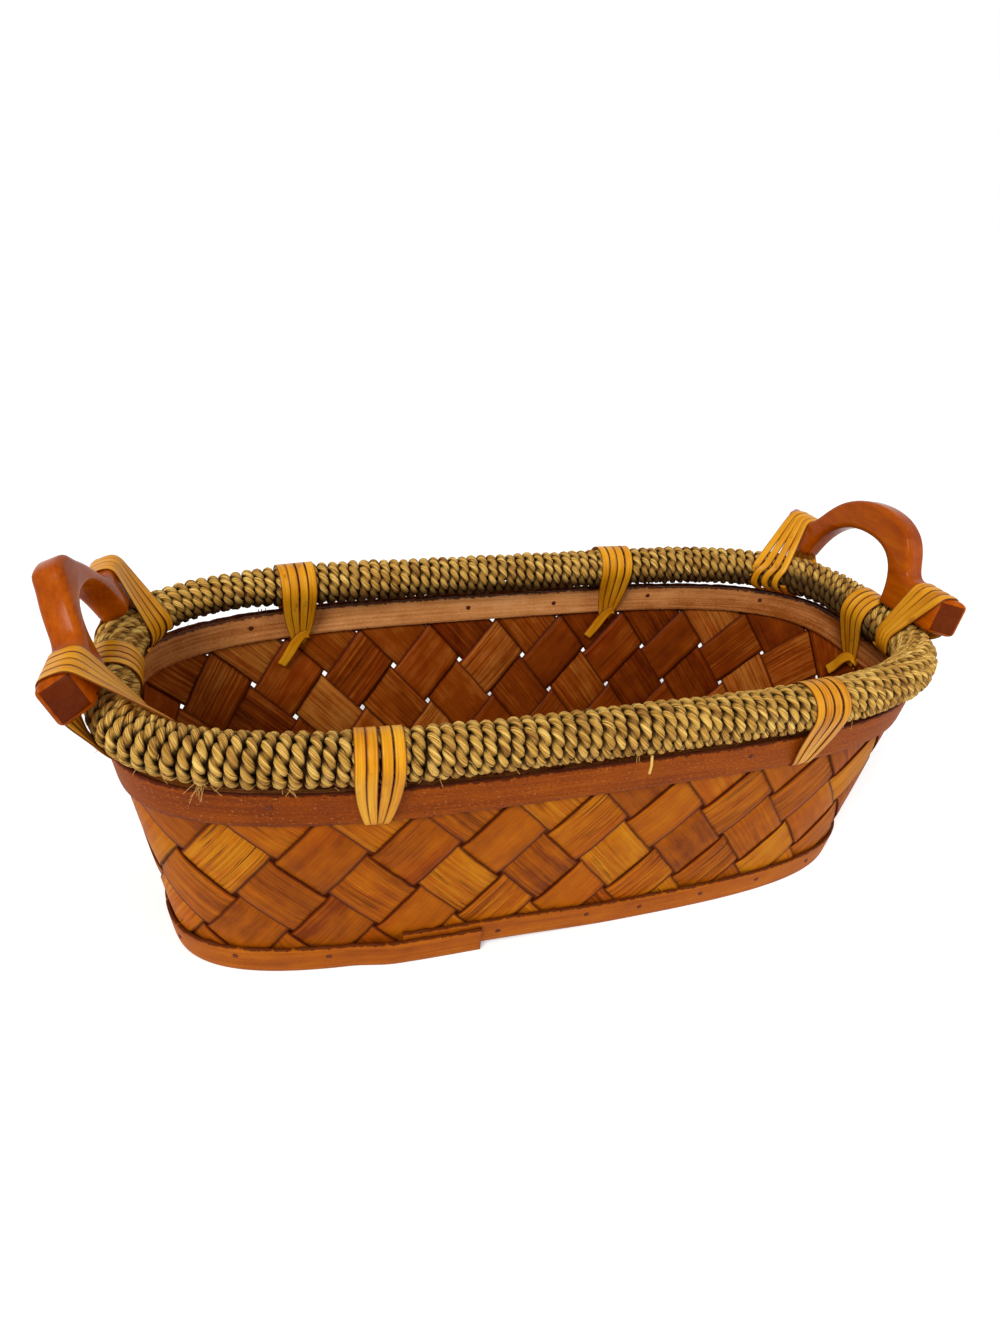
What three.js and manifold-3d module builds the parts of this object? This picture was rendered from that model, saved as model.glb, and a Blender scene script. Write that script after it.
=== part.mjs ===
// An oblong basket of chip-wood splints plaited on the bias. Bent bands hold the foot and the rim, a hoop
// wound with seagrass cord lies on the rim, cane lashings tie it down through the weave, and a wooden bow
// handle is tied to each end. Millimetres, +Z up, the basket stands on z = 0.
import * as THREE from 'three';
import Module from 'manifold-3d';

const solids = await Module();
solids.setup();

// Plaited body: half lengths and half widths run to the middle of the weave.
const BASE_HALF_LENGTH = 190.7;
const BASE_HALF_WIDTH = 69.5;
const BASE_SQUARENESS = 3.77;
const RIM_HALF_LENGTH = 204.6;
const RIM_HALF_WIDTH = 83.2;
const RIM_SQUARENESS = 3.4;
const RIM_HEIGHT = 112;
const FOLD_HEIGHT = 2.5;
const WEAVE_ABOVE_RIM = 5;
const CELLS_LONG = 8;
const CELLS_WIDE = 4;
const ROWS_HIGH = 5.4524;
const SPLINT_THICKNESS = 0.8;
const SPLINT_GAP = 2;
const BASE_SPLINT_GAP = 5;

// Everything that lies against something else keeps this much air.
const CLEARANCE = 0.35;

// Bands: a strip round the foot, one outside and one inside the rim.
const FOOT_BAND_WIDTH = 17;
const FOOT_BAND_THICKNESS = 2;
const FOOT_BAND_LAP = 42;
const FOOT_BAND_LAP_X = -46;
const FOOT_BAND_LIFT = 3.5;
const OUTER_BAND_DROP = 9.8;
const OUTER_BAND_WIDTH = 18.6;
const OUTER_BAND_THICKNESS = 1.9;
const INNER_BAND_RISE = 3.4;
const INNER_BAND_WIDTH = 15.3;
const INNER_BAND_THICKNESS = 1.6;
const RIM_BAND_LAP = 38;
const OUTER_BAND_LAP_X = -40;
const INNER_BAND_LAP_X = 20;
const BAND_STATIONS_PER_CELL = 3;
const BAND_LAP_RAMP = { from: 0.7, to: 0.1 };
const INNER_BAND_SAG_CELLS = 0.5;

// Rim roll: a hoop inside a winding of cord.
const HOOP_END_INSET = 1.1;
const HOOP_SIDE_OUTSET = 0.3;
const HOOP_SQUARENESS = 3.45;
const HOOP_RADIUS = 5.8;
const ROLL_GAP = 3.65;
const CORD_DIAMETER = 5;
const CORD_PITCH = 5.75;
const CORD_VALLEY_DEPTH = 1.5;
const CORD_END_GAP = 3;
const HOOP_STATIONS = 56;
const CORD_SIDES = 7;

// Cane lashings that tie the rim roll to the body.
const CANE_THICKNESS = 1;
const CANE_WIDTH = 4.4;
const CANE_SPACING = 5.2;
const CANE_PINCHED_WIDTH = 1.3;
const CANE_PINCHED_SPACING = 1.9;
const LASHING_TURNS = 4;
const LASHING_ARC_STOPS = 5;
const LASHING_SLOT_DROP = 2.4;
const LASHING_SLOT_HEIGHT = 2.4;
const LASHING_SLOT_OVERCUT = 1;
const LASHING_SLACK = 0.4;
const LASHING_START_TAIL = 6.6;
const LASHING_TAIL = 11;
const STRIP_MITRE_LIMIT = 0.6;
const FRONT_LASHINGS_X = [-101, 109];
const BACK_LASHINGS_X = [-117, 74];

// Wooden bow handles, one at each end, tied down by hand and so a little off centre and out of square.
const HANDLE_PLACES = {
  left: { inset: 4, slide: -6, turn: THREE.MathUtils.degToRad(5), lean: THREE.MathUtils.degToRad(27) },
  right: { inset: 3, slide: 2.5, turn: THREE.MathUtils.degToRad(3), lean: THREE.MathUtils.degToRad(6) },
};
const HANDLE_HALF_LENGTH = 64;
const HANDLE_THICKNESS = 12.5;
const HANDLE_FOOT_HEIGHT = 18.5;
const HANDLE_ARCH_RISE = 31;
const HANDLE_ARCH_HEIGHT = 15;
const HANDLE_ARCH_HALF_OPENING = 28;
const HANDLE_FOOT_TOP_LENGTH = 26;
const HANDLE_SHOULDER = { start: 2, pull: 6, height: 12 };
const HANDLE_CROWN = { corner: 16, drop: 5, pull: 22, pullDrop: 1, top: 10 };
const HANDLE_OPENING = { pull: 3, height: 0.5, crown: 0.72 };
const HANDLE_END_SKEW = 0.75;
const HANDLE_EDGE = 2.5;
const HANDLE_TIE_TURNS = 4;
const HANDLE_TIE_INSET = 12.7;
const HANDLE_TIE_DRAW = 12.3;
const HANDLE_TIE_ROLL_SPACING = 3.3;
const HANDLE_TIE_ROLL_WIDTH = 2.6;
const HANDLE_TIE_SLACK = 1.05;
const HANDLE_TIE_ARC_STOPS = 8;

const CHIP_WOOD = { color: 0xa8661c, roughness: 0.55, metalness: 0 };
const BAND_WOOD = { color: 0x9c541c, roughness: 0.5, metalness: 0 };
const HANDLE_WOOD = { color: 0xa2480c, roughness: 0.3, metalness: 0 };
const SEAGRASS = { color: 0x9a8340, roughness: 0.8, metalness: 0 };
const CANE = { color: 0xcf8f2c, roughness: 0.45, metalness: 0 };

// Steps of the arithmetic.
const TANGENT_STEP = 0.02;
const HALVINGS = 40;

// Derived sizes.
const COLUMNS = 2 * (CELLS_LONG + CELLS_WIDE);
const WEAVE_TOP = RIM_HEIGHT + WEAVE_ABOVE_RIM;
const OUTER_BAND_LOW = RIM_HEIGHT - OUTER_BAND_DROP;
const INNER_BAND_LOW = OUTER_BAND_LOW + INNER_BAND_RISE;
const LAYER_OFFSET = (SPLINT_THICKNESS + CLEARANCE) / 2;
const HALF_WEAVE = LAYER_OFFSET + SPLINT_THICKNESS / 2;
const ROW_HEIGHT = (WEAVE_TOP - FOLD_HEIGHT) / ROWS_HIGH;
const WHOLE_ROWS = Math.floor(ROWS_HIGH);
const CORD_BORE = HOOP_RADIUS + CLEARANCE;
const CORD_RADIUS = CORD_BORE + CORD_DIAMETER;
const HOOP_HALF_LENGTH = RIM_HALF_LENGTH - HOOP_END_INSET;
const HOOP_HALF_WIDTH = RIM_HALF_WIDTH + HOOP_SIDE_OUTSET;
const HOOP_HEIGHT = OUTER_BAND_LOW + OUTER_BAND_WIDTH + ROLL_GAP + CORD_RADIUS;
const HANDLE_TIE_PLACE = HANDLE_HALF_LENGTH - HANDLE_TIE_INSET;
const HANDLE_TIE_ROLL_PLACE = HANDLE_TIE_PLACE - HANDLE_TIE_DRAW;
const CANE_OFFSET = CLEARANCE + CANE_THICKNESS / 2;
const DOWN = new THREE.Vector3(0, 0, -1);
const UP = new THREE.Vector3(0, 0, 1);

const basket = new THREE.Group();

// A rounded oblong walked by a cell count: 0 is the front left corner of the weave, and the count rises
// anticlockwise seen from above, so that half the long side is the middle of the front.
class Outline {
  constructor(halfLength, halfWidth, squareness) {
    const samples = 1440;
    this.points = [];
    this.lengths = [0];
    for (let i = 0; i <= samples; i++) {
      const angle = -Math.PI / 2 + (2 * Math.PI * i) / samples;
      const along = Math.abs(Math.cos(angle) / halfLength) ** squareness;
      const across = Math.abs(Math.sin(angle) / halfWidth) ** squareness;
      const radius = (along + across) ** (-1 / squareness);
      this.points.push(new THREE.Vector3(radius * Math.cos(angle), radius * Math.sin(angle), 0));
      if (i > 0) this.lengths.push(this.lengths[i - 1] + this.points[i].distanceTo(this.points[i - 1]));
    }
    this.length = this.lengths[samples];
    this.cellLength = this.length / COLUMNS;
  }

  at(cell) {
    const share = THREE.MathUtils.euclideanModulo(cell - CELLS_LONG / 2, COLUMNS) / COLUMNS;
    const target = share * this.length;
    let low = 0;
    let high = this.points.length - 1;
    while (high - low > 1) {
      const middle = (low + high) >> 1;
      if (this.lengths[middle] <= target) low = middle;
      else high = middle;
    }
    const part = (target - this.lengths[low]) / (this.lengths[high] - this.lengths[low]);
    return this.points[low].clone().lerp(this.points[high], part);
  }

  tangent(cell) {
    return this.at(cell + TANGENT_STEP).sub(this.at(cell - TANGENT_STEP)).normalize();
  }

  normal(cell) {
    const tangent = this.tangent(cell);
    return new THREE.Vector3(tangent.y, -tangent.x, 0);
  }

  // The cell count at which the front (or back) of the outline passes x.
  cellAtX(x, back = false) {
    let low = back ? CELLS_LONG + CELLS_WIDE / 2 : -CELLS_WIDE / 2;
    let high = low + COLUMNS / 2;
    for (let i = 0; i < HALVINGS; i++) {
      const middle = (low + high) / 2;
      const before = back ? this.at(middle).x > x : this.at(middle).x < x;
      if (before) low = middle;
      else high = middle;
    }
    return low;
  }
}

const baseOutline = new Outline(BASE_HALF_LENGTH, BASE_HALF_WIDTH, BASE_SQUARENESS);
const rimOutline = new Outline(RIM_HALF_LENGTH, RIM_HALF_WIDTH, RIM_SQUARENESS);
const hoopOutline = new Outline(HOOP_HALF_LENGTH, HOOP_HALF_WIDTH, HOOP_SQUARENESS);
const SPLINT_PITCH = ((baseOutline.cellLength + rimOutline.cellLength) / 2) * ROW_HEIGHT
  / Math.hypot((baseOutline.cellLength + rimOutline.cellLength) / 4, ROW_HEIGHT);
const CELL_REACH = 1 - SPLINT_GAP / SPLINT_PITCH;
const BASE_CELL_REACH = 1 - BASE_SPLINT_GAP / SPLINT_PITCH;

// The middle surface of the wall: straight lines from the base outline to the rim outline.
function wallPoint(cell, z) {
  const share = (z - FOLD_HEIGHT) / (RIM_HEIGHT - FOLD_HEIGHT);
  const point = baseOutline.at(cell).lerp(rimOutline.at(cell), share);
  point.z = z;
  return point;
}

function wallTangent(cell, z) {
  return wallPoint(cell + TANGENT_STEP, z).sub(wallPoint(cell - TANGENT_STEP, z)).normalize();
}

function wallNormal(cell, z) {
  const rise = wallPoint(cell, z + 1).sub(wallPoint(cell, z));
  return wallTangent(cell, z).cross(rise).normalize();
}

function levelNormal(cell, z) {
  const tangent = wallTangent(cell, z);
  return new THREE.Vector3(tangent.y, -tangent.x, 0);
}

// How far a chord of the given number of cells cuts inside the curved wall.
function chordSag(cell, z, cells) {
  const chordMiddle = wallPoint(cell - cells / 2, z).add(wallPoint(cell + cells / 2, z)).multiplyScalar(0.5);
  return chordMiddle.distanceTo(wallPoint(cell, z));
}

// The middle of the hoop, and how far out from it the weave lies at a height.
function hoopPoint(cell) {
  const point = hoopOutline.at(cell);
  point.z = HOOP_HEIGHT;
  return point;
}

function offsetFromHoop(cell, z) {
  return wallPoint(cell, z).sub(hoopPoint(cell)).dot(hoopOutline.normal(cell));
}

// Makes a mesh from points and triangles, faces out.
function addMesh(name, points, triangles, finish) {
  let volume = 0;
  for (const [a, b, c] of triangles) {
    volume += points[a].dot(points[b].clone().cross(points[c]));
  }
  const indices = volume > 0 ? triangles.flat() : triangles.flatMap(([a, b, c]) => [a, c, b]);
  const geometry = new THREE.BufferGeometry();
  geometry.setAttribute('position', new THREE.Float32BufferAttribute(points.flatMap((p) => p.toArray()), 3));
  geometry.setIndex(indices);
  geometry.computeVertexNormals();
  const mesh = new THREE.Mesh(geometry, new THREE.MeshStandardMaterial(finish));
  mesh.name = name;
  basket.add(mesh);
  return mesh;
}

// Joins equal sections, each a ring of points, into one closed body.
function loft(sections, closed = false) {
  const sides = sections[0].length;
  const points = sections.flat();
  const triangles = [];
  const last = closed ? sections.length : sections.length - 1;
  for (let i = 0; i < last; i++) {
    const here = i * sides;
    const next = ((i + 1) % sections.length) * sides;
    for (let k = 0; k < sides; k++) {
      const turn = (k + 1) % sides;
      triangles.push([here + k, here + turn, next + turn], [here + k, next + turn, next + k]);
    }
  }
  if (!closed) {
    const end = (sections.length - 1) * sides;
    for (let k = 1; k < sides - 1; k++) {
      triangles.push([0, k + 1, k], [end, end + k, end + k + 1]);
    }
  }
  return { points, triangles };
}

// Weave. A node is a point of the middle surface with the vector that one millimetre of thickness adds.
function wallNode(cell, row) {
  const z = FOLD_HEIGHT + row * ROW_HEIGHT;
  const normal = wallNormal(cell, z);
  if (row !== 0) return { point: wallPoint(cell, z), out: normal };
  const mitre = normal.clone().add(DOWN).divideScalar(1 + normal.dot(DOWN));
  return { point: wallPoint(cell, z), out: mitre };
}

// The base lattice is stretched between the four sides of the base outline.
function baseNode(x, y) {
  const right = x / CELLS_LONG;
  const back = y / CELLS_WIDE;
  const front = baseOutline.at(x);
  const rear = baseOutline.at(2 * CELLS_LONG + CELLS_WIDE - x);
  const left = baseOutline.at(COLUMNS - y);
  const far = baseOutline.at(CELLS_LONG + y);
  const point = front.multiplyScalar(1 - back).addScaledVector(rear, back)
    .addScaledVector(left, 1 - right).addScaledVector(far, right)
    .addScaledVector(baseOutline.at(0), -(1 - right) * (1 - back))
    .addScaledVector(baseOutline.at(CELLS_LONG), -right * (1 - back))
    .addScaledVector(baseOutline.at(CELLS_LONG + CELLS_WIDE), -right * back)
    .addScaledVector(baseOutline.at(2 * CELLS_LONG + CELLS_WIDE), -(1 - right) * back);
  point.z = FOLD_HEIGHT;
  return { point, out: DOWN };
}

// Where a point on the edge of the base lattice lies on the walk round the basket, and the way inwards.
function edgeOf(x, y) {
  if (y === 0) return { cell: x, inX: 0, inY: 1, walkX: 1, walkY: 0 };
  if (x === CELLS_LONG) return { cell: CELLS_LONG + y, inX: -1, inY: 0, walkX: 0, walkY: 1 };
  if (y === CELLS_WIDE) return { cell: 2 * CELLS_LONG + CELLS_WIDE - x, inX: 0, inY: -1, walkX: -1, walkY: 0 };
  return { cell: COLUMNS - y, inX: 1, inY: 0, walkX: 0, walkY: -1 };
}

// One crossing on the wall, as a splint that leans with the walk (1) or against it (-1) climbs through it.
function wallCell(edge, edgeX, edgeY, row, lean) {
  const cell = edge.cell + (lean * row) / 2;
  const half = (row === 0 ? BASE_CELL_REACH : CELL_REACH) / 2;
  const left = wallNode(cell - half, row);
  const right = wallNode(cell + half, row);
  const top = wallNode(cell, Math.min(row + CELL_REACH, ROWS_HIGH));
  const bottom = row === 0
    ? baseNode(edgeX + edge.inX * half, edgeY + edge.inY * half)
    : wallNode(cell, row - CELL_REACH);
  const outside = row % 2 === 1 ? lean : -lean;
  const centre = row === 0 ? wallNode(cell, 0) : null;
  if (lean > 0) return { enter: [left, bottom], leave: [top, right], creaseFromLeft: false, outside, centre };
  return { enter: [bottom, right], leave: [left, top], creaseFromLeft: true, outside, centre };
}

function turnedRound(crossing) {
  const [enterLeft, enterRight] = crossing.enter;
  const [leaveLeft, leaveRight] = crossing.leave;
  return { ...crossing, enter: [leaveRight, leaveLeft], leave: [enterRight, enterLeft] };
}

function baseCell(x, y, direction, outside) {
  const half = BASE_CELL_REACH / 2;
  const west = baseNode(x - half, y);
  const east = baseNode(x + half, y);
  const south = baseNode(x, y - half);
  const north = baseNode(x, y + half);
  if (direction < 0) return { enter: [west, north], leave: [south, east], creaseFromLeft: false, outside };
  return { enter: [south, west], leave: [east, north], creaseFromLeft: false, outside };
}

// A splint starts at the top of one wall, crosses the base corner to corner of the cells and climbs the
// other wall. direction is the way its y goes on the base while its x rises.
function splintCrossings(startX, startY, direction) {
  const crossings = [];
  const firstEdge = edgeOf(startX, startY);
  const firstLean = Math.sign(-firstEdge.walkX - direction * firstEdge.walkY);
  for (let row = WHOLE_ROWS; row >= 0; row--) {
    crossings.push(turnedRound(wallCell(firstEdge, startX, startY, row, firstLean)));
  }
  let x = startX + 0.5;
  let y = startY + direction * 0.5;
  while (x < CELLS_LONG && y > 0 && y < CELLS_WIDE) {
    crossings.push(baseCell(x, y, direction, -crossings.at(-1).outside));
    x += 0.5;
    y += direction * 0.5;
  }
  const lastEdge = edgeOf(x, y);
  const lastLean = Math.sign(lastEdge.walkX + direction * lastEdge.walkY);
  for (let row = 0; row <= WHOLE_ROWS; row++) {
    crossings.push(wallCell(lastEdge, x, y, row, lastLean));
  }
  return crossings;
}

// The splint's body: flat over each crossing, stepping between the two layers in the gaps.
function splintBody(crossings) {
  const points = [];
  const triangles = [];
  const raise = (node, outside, face) =>
    node.point.clone().addScaledVector(node.out, outside * LAYER_OFFSET + (face * SPLINT_THICKNESS) / 2);
  const addSection = ([left, right], outside) => {
    points.push(raise(left, outside, 1), raise(right, outside, 1), raise(right, outside, -1),
      raise(left, outside, -1));
    return points.length - 4;
  };
  const addStretch = (a, b, creaseFromLeft, outerCentre, innerCentre) => {
    if (outerCentre !== undefined) {
      triangles.push([a, a + 1, outerCentre], [a + 1, b + 1, outerCentre], [b + 1, b, outerCentre],
        [b, a, outerCentre]);
      triangles.push([a + 2, a + 3, innerCentre], [b + 2, a + 2, innerCentre], [b + 3, b + 2, innerCentre],
        [a + 3, b + 3, innerCentre]);
    } else if (creaseFromLeft) {
      triangles.push([a, a + 1, b + 1], [a, b + 1, b], [a + 2, a + 3, b + 2], [a + 3, b + 3, b + 2]);
    } else {
      triangles.push([a, a + 1, b], [a + 1, b + 1, b], [a + 2, a + 3, b + 3], [a + 2, b + 3, b + 2]);
    }
    triangles.push([a, b, b + 3], [a, b + 3, a + 3], [a + 1, a + 2, b + 2], [a + 1, b + 2, b + 1]);
  };
  let before = null;
  for (const crossing of crossings) {
    const enter = addSection(crossing.enter, crossing.outside);
    if (before === null) triangles.push([enter, enter + 3, enter + 2], [enter, enter + 2, enter + 1]);
    else addStretch(before, enter, false);
    const leave = addSection(crossing.leave, crossing.outside);
    if (crossing.centre) {
      points.push(raise(crossing.centre, crossing.outside, 1), raise(crossing.centre, crossing.outside, -1));
      addStretch(enter, leave, false, points.length - 2, points.length - 1);
    } else {
      addStretch(enter, leave, crossing.creaseFromLeft);
    }
    before = leave;
  }
  triangles.push([before, before + 1, before + 2], [before, before + 2, before + 3]);
  return { points, triangles };
}

// The places where a lashing passes through the weave, as blocks to cut out of the splints.
const lashingPlaces = {
  front_left: rimOutline.cellAtX(FRONT_LASHINGS_X[0]),
  front_right: rimOutline.cellAtX(FRONT_LASHINGS_X[1]),
  back_left: rimOutline.cellAtX(BACK_LASHINGS_X[0], true),
  back_right: rimOutline.cellAtX(BACK_LASHINGS_X[1], true),
  end_left: 2 * CELLS_LONG + CELLS_WIDE * 1.5,
  end_right: CELLS_LONG + CELLS_WIDE / 2,
};
const SLOT_Z = OUTER_BAND_LOW - LASHING_SLOT_DROP;

function slotBlock(cell) {
  const width = (LASHING_TURNS - 1) * CANE_PINCHED_SPACING + CANE_PINCHED_WIDTH + 2 * CLEARANCE;
  const depth = 4 * HALF_WEAVE + 2 * LASHING_SLOT_OVERCUT;
  const block = new THREE.BoxGeometry(width, depth, LASHING_SLOT_HEIGHT);
  const normal = hoopOutline.normal(cell);
  const place = hoopPoint(cell).addScaledVector(normal, offsetFromHoop(cell, SLOT_Z));
  block.applyMatrix4(new THREE.Matrix4().makeBasis(hoopOutline.tangent(cell), normal.negate(), UP)
    .setPosition(place.setZ(SLOT_Z)));
  return block;
}

// A closed mesh as a solid for cutting: shared corners merged by their rounded places.
function toSolid(points, triangles) {
  const vertProperties = new Float32Array(points.flatMap((p) => p.toArray()));
  const triVerts = new Uint32Array(triangles.flat());
  return new solids.Manifold(new solids.Mesh({ numProp: 3, vertProperties, triVerts }));
}

function boxToSolid(geometry) {
  const position = geometry.attributes.position;
  const points = [];
  const seen = new Map();
  const indexOf = Array.from({ length: position.count }, (_, i) => {
    const point = new THREE.Vector3().fromBufferAttribute(position, i);
    const key = point.toArray().map((value) => value.toFixed(4)).join();
    if (!seen.has(key)) {
      seen.set(key, points.length);
      points.push(point);
    }
    return seen.get(key);
  });
  const index = Array.from(geometry.index.array, (i) => indexOf[i]);
  const triangles = [];
  for (let i = 0; i < index.length; i += 3) triangles.push(index.slice(i, i + 3));
  return toSolid(points, triangles);
}

const slotSolids = Object.values(lashingPlaces).map((cell) => {
  const block = slotBlock(cell);
  block.computeBoundingBox();
  return { box: block.boundingBox, solid: boxToSolid(block) };
});

function addSplint(name, startX, startY, direction) {
  let { points, triangles } = splintBody(splintCrossings(startX, startY, direction));
  const bounds = new THREE.Box3().setFromPoints(points);
  const cuts = slotSolids.filter((slot) => bounds.intersectsBox(slot.box));
  if (cuts.length > 0) {
    let solid = toSolid(points, triangles);
    for (const slot of cuts) solid = solid.subtract(slot.solid);
    const cut = solid.getMesh();
    points = [];
    for (let i = 0; i < cut.vertProperties.length; i += cut.numProp) {
      points.push(new THREE.Vector3(...cut.vertProperties.slice(i, i + 3)));
    }
    triangles = [];
    for (let i = 0; i < cut.triVerts.length; i += 3) triangles.push([...cut.triVerts.slice(i, i + 3)]);
  }
  addMesh(name, points, triangles, CHIP_WOOD);
}

function addWeave() {
  let count = 0;
  const nextName = () => `splint_${String(++count).padStart(2, '0')}`;
  for (let i = 0.5; i < CELLS_LONG + CELLS_WIDE; i++) {
    addSplint(nextName(), Math.max(0, i - CELLS_WIDE), Math.min(i, CELLS_WIDE), -1);
  }
  for (let i = 0.5 - CELLS_WIDE; i < CELLS_LONG; i++) {
    addSplint(nextName(), Math.max(0, i), Math.max(0, -i), 1);
  }
}

// A band bent round the weave, outside (side 1) or inside (side -1) it. It starts under its own end, so
// that the last stretch laps over the first. lift raises the end that lies underneath.
function addBand(name, { side, low, width, thickness, lapCell, lapLength, lift = 0 }) {
  const lapCells = lapLength / rimOutline.cellLength;
  const start = lapCell - lapCells;
  const cells = COLUMNS + lapCells;
  const stations = Math.round(cells * BAND_STATIONS_PER_CELL);
  const chord = 1 / BAND_STATIONS_PER_CELL;
  const sections = [];
  for (let i = 0; i <= stations; i++) {
    const walked = (cells * i) / stations;
    const cell = start + walked;
    const overlap = THREE.MathUtils.smoothstep(walked, COLUMNS - BAND_LAP_RAMP.from * lapCells,
      COLUMNS - BAND_LAP_RAMP.to * lapCells);
    const raised = low + lift * (1 - THREE.MathUtils.smoothstep(walked, lapCells, 3 * lapCells));
    const sag = chordSag(cell, low, side > 0 ? chord : INNER_BAND_SAG_CELLS);
    const near = HALF_WEAVE + CLEARANCE + sag + overlap * (thickness + CLEARANCE);
    const corner = (z, offset) => wallPoint(cell, z).addScaledVector(levelNormal(cell, z), side * offset);
    sections.push([
      corner(raised, near),
      corner(raised, near + thickness),
      corner(raised + width, near + thickness),
      corner(raised + width, near),
    ]);
  }
  const { points, triangles } = loft(sections);
  addMesh(name, points, triangles, BAND_WOOD);
}

// Rim roll: points round the hoop in planes square to it.
function hoopRing(centre, normal, radius, sides) {
  return Array.from({ length: sides }, (_, k) => {
    const angle = (2 * Math.PI * k) / sides;
    return centre.clone().addScaledVector(normal, radius * Math.cos(angle))
      .addScaledVector(UP, radius * Math.sin(angle));
  });
}

function addHoop() {
  const sections = Array.from({ length: HOOP_STATIONS }, (_, i) => {
    const cell = lashingPlaces.end_right + (COLUMNS * i) / HOOP_STATIONS;
    return hoopRing(hoopPoint(cell), hoopOutline.normal(cell), HOOP_RADIUS, CORD_SIDES);
  });
  const { points, triangles } = loft(sections, true);
  addMesh('rim_core', points, triangles, BAND_WOOD);
}

// The wound cord: an outer skin that is one unbroken helical rib, and a bore that clears the hoop. The
// skin's two rings a turn are slid along the hoop by one pitch in a turn, so that the ribs run on.
function addCordWinding() {
  const start = lashingPlaces.end_right;
  const gapCells = CORD_END_GAP / hoopOutline.cellLength;
  const pitchCells = CORD_PITCH / hoopOutline.cellLength;
  const turns = Math.floor((COLUMNS - gapCells) / pitchCells - 1);
  const pitch = (COLUMNS - gapCells) / (turns + 1);
  const points = [];
  const triangles = [];
  const skin = (ring, side) => (side === CORD_SIDES ? (ring + 2) * CORD_SIDES : ring * CORD_SIDES + side);
  for (let ring = 0; ring <= 2 * turns; ring++) {
    const radius = CORD_RADIUS - (ring % 2 === 0 ? CORD_VALLEY_DEPTH : 0);
    for (let side = 0; side < CORD_SIDES; side++) {
      const angle = (2 * Math.PI * side) / CORD_SIDES;
      const cell = start + gapCells / 2 + pitch * (ring / 2 + side / CORD_SIDES);
      points.push(hoopPoint(cell).addScaledVector(hoopOutline.normal(cell), radius * Math.cos(angle))
        .addScaledVector(UP, radius * Math.sin(angle)));
    }
  }
  for (let ring = 0; ring < 2 * turns; ring++) {
    for (let side = 0; side < CORD_SIDES; side++) {
      if (side === CORD_SIDES - 1 && ring + 3 > 2 * turns) continue;
      const [a, b] = [skin(ring, side), skin(ring, side + 1)];
      const [c, d] = [skin(ring + 1, side + 1), skin(ring + 1, side)];
      triangles.push([a, b, c], [a, c, d]);
    }
  }
  const bore = points.length;
  const stations = [start + gapCells / 2];
  for (let i = 1; i < HOOP_STATIONS; i++) stations.push(start + (COLUMNS * i) / HOOP_STATIONS);
  stations.push(start + gapCells / 2 + pitch * turns);
  for (const cell of stations) {
    points.push(...hoopRing(hoopPoint(cell), hoopOutline.normal(cell), CORD_BORE, CORD_SIDES));
  }
  for (let i = 0; i < stations.length - 1; i++) {
    for (let side = 0; side < CORD_SIDES; side++) {
      const turn = (side + 1) % CORD_SIDES;
      const here = bore + i * CORD_SIDES;
      const next = here + CORD_SIDES;
      triangles.push([here + side, next + turn, here + turn], [here + side, next + side, next + turn]);
    }
  }
  for (let side = 0; side < CORD_SIDES; side++) {
    const turn = bore + ((side + 1) % CORD_SIDES);
    triangles.push([bore + side, turn, skin(0, side + 1)], [bore + side, skin(0, side + 1), skin(0, side)]);
  }
  triangles.push([bore, skin(0, 0), skin(1, 0)], [bore, skin(1, 0), skin(2, 0)]);
  const end = bore + (stations.length - 1) * CORD_SIDES;
  const last = 2 * turns;
  for (let side = 0; side < CORD_SIDES - 1; side++) {
    triangles.push([end + side, skin(last, side), skin(last, side + 1)],
      [end + side, skin(last, side + 1), end + side + 1]);
  }
  const corner = end + CORD_SIDES - 1;
  triangles.push([corner, skin(last, CORD_SIDES - 1), skin(last - 1, CORD_SIDES - 1)],
    [corner, skin(last - 1, CORD_SIDES - 1), skin(last - 2, CORD_SIDES - 1)],
    [corner, skin(last - 2, CORD_SIDES - 1), skin(last, 0)],
    [corner, skin(last, 0), end]);
  addMesh('rim_rope', points, triangles, SEAGRASS);
  console.log(`cord winding: ${turns} turns, pitch ${(pitch * hoopOutline.cellLength).toFixed(2)} mm`);
}

// The least distance between one turn of a strip and the later ones, measured on corner points.
function leastGap(sections, stopsPerTurn) {
  let least = Infinity;
  sections.forEach((section, i) => {
    for (const other of sections.slice(i + stopsPerTurn - 2)) {
      for (const a of section) for (const b of other) least = Math.min(least, a.distanceTo(b));
    }
  });
  return least;
}

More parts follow.
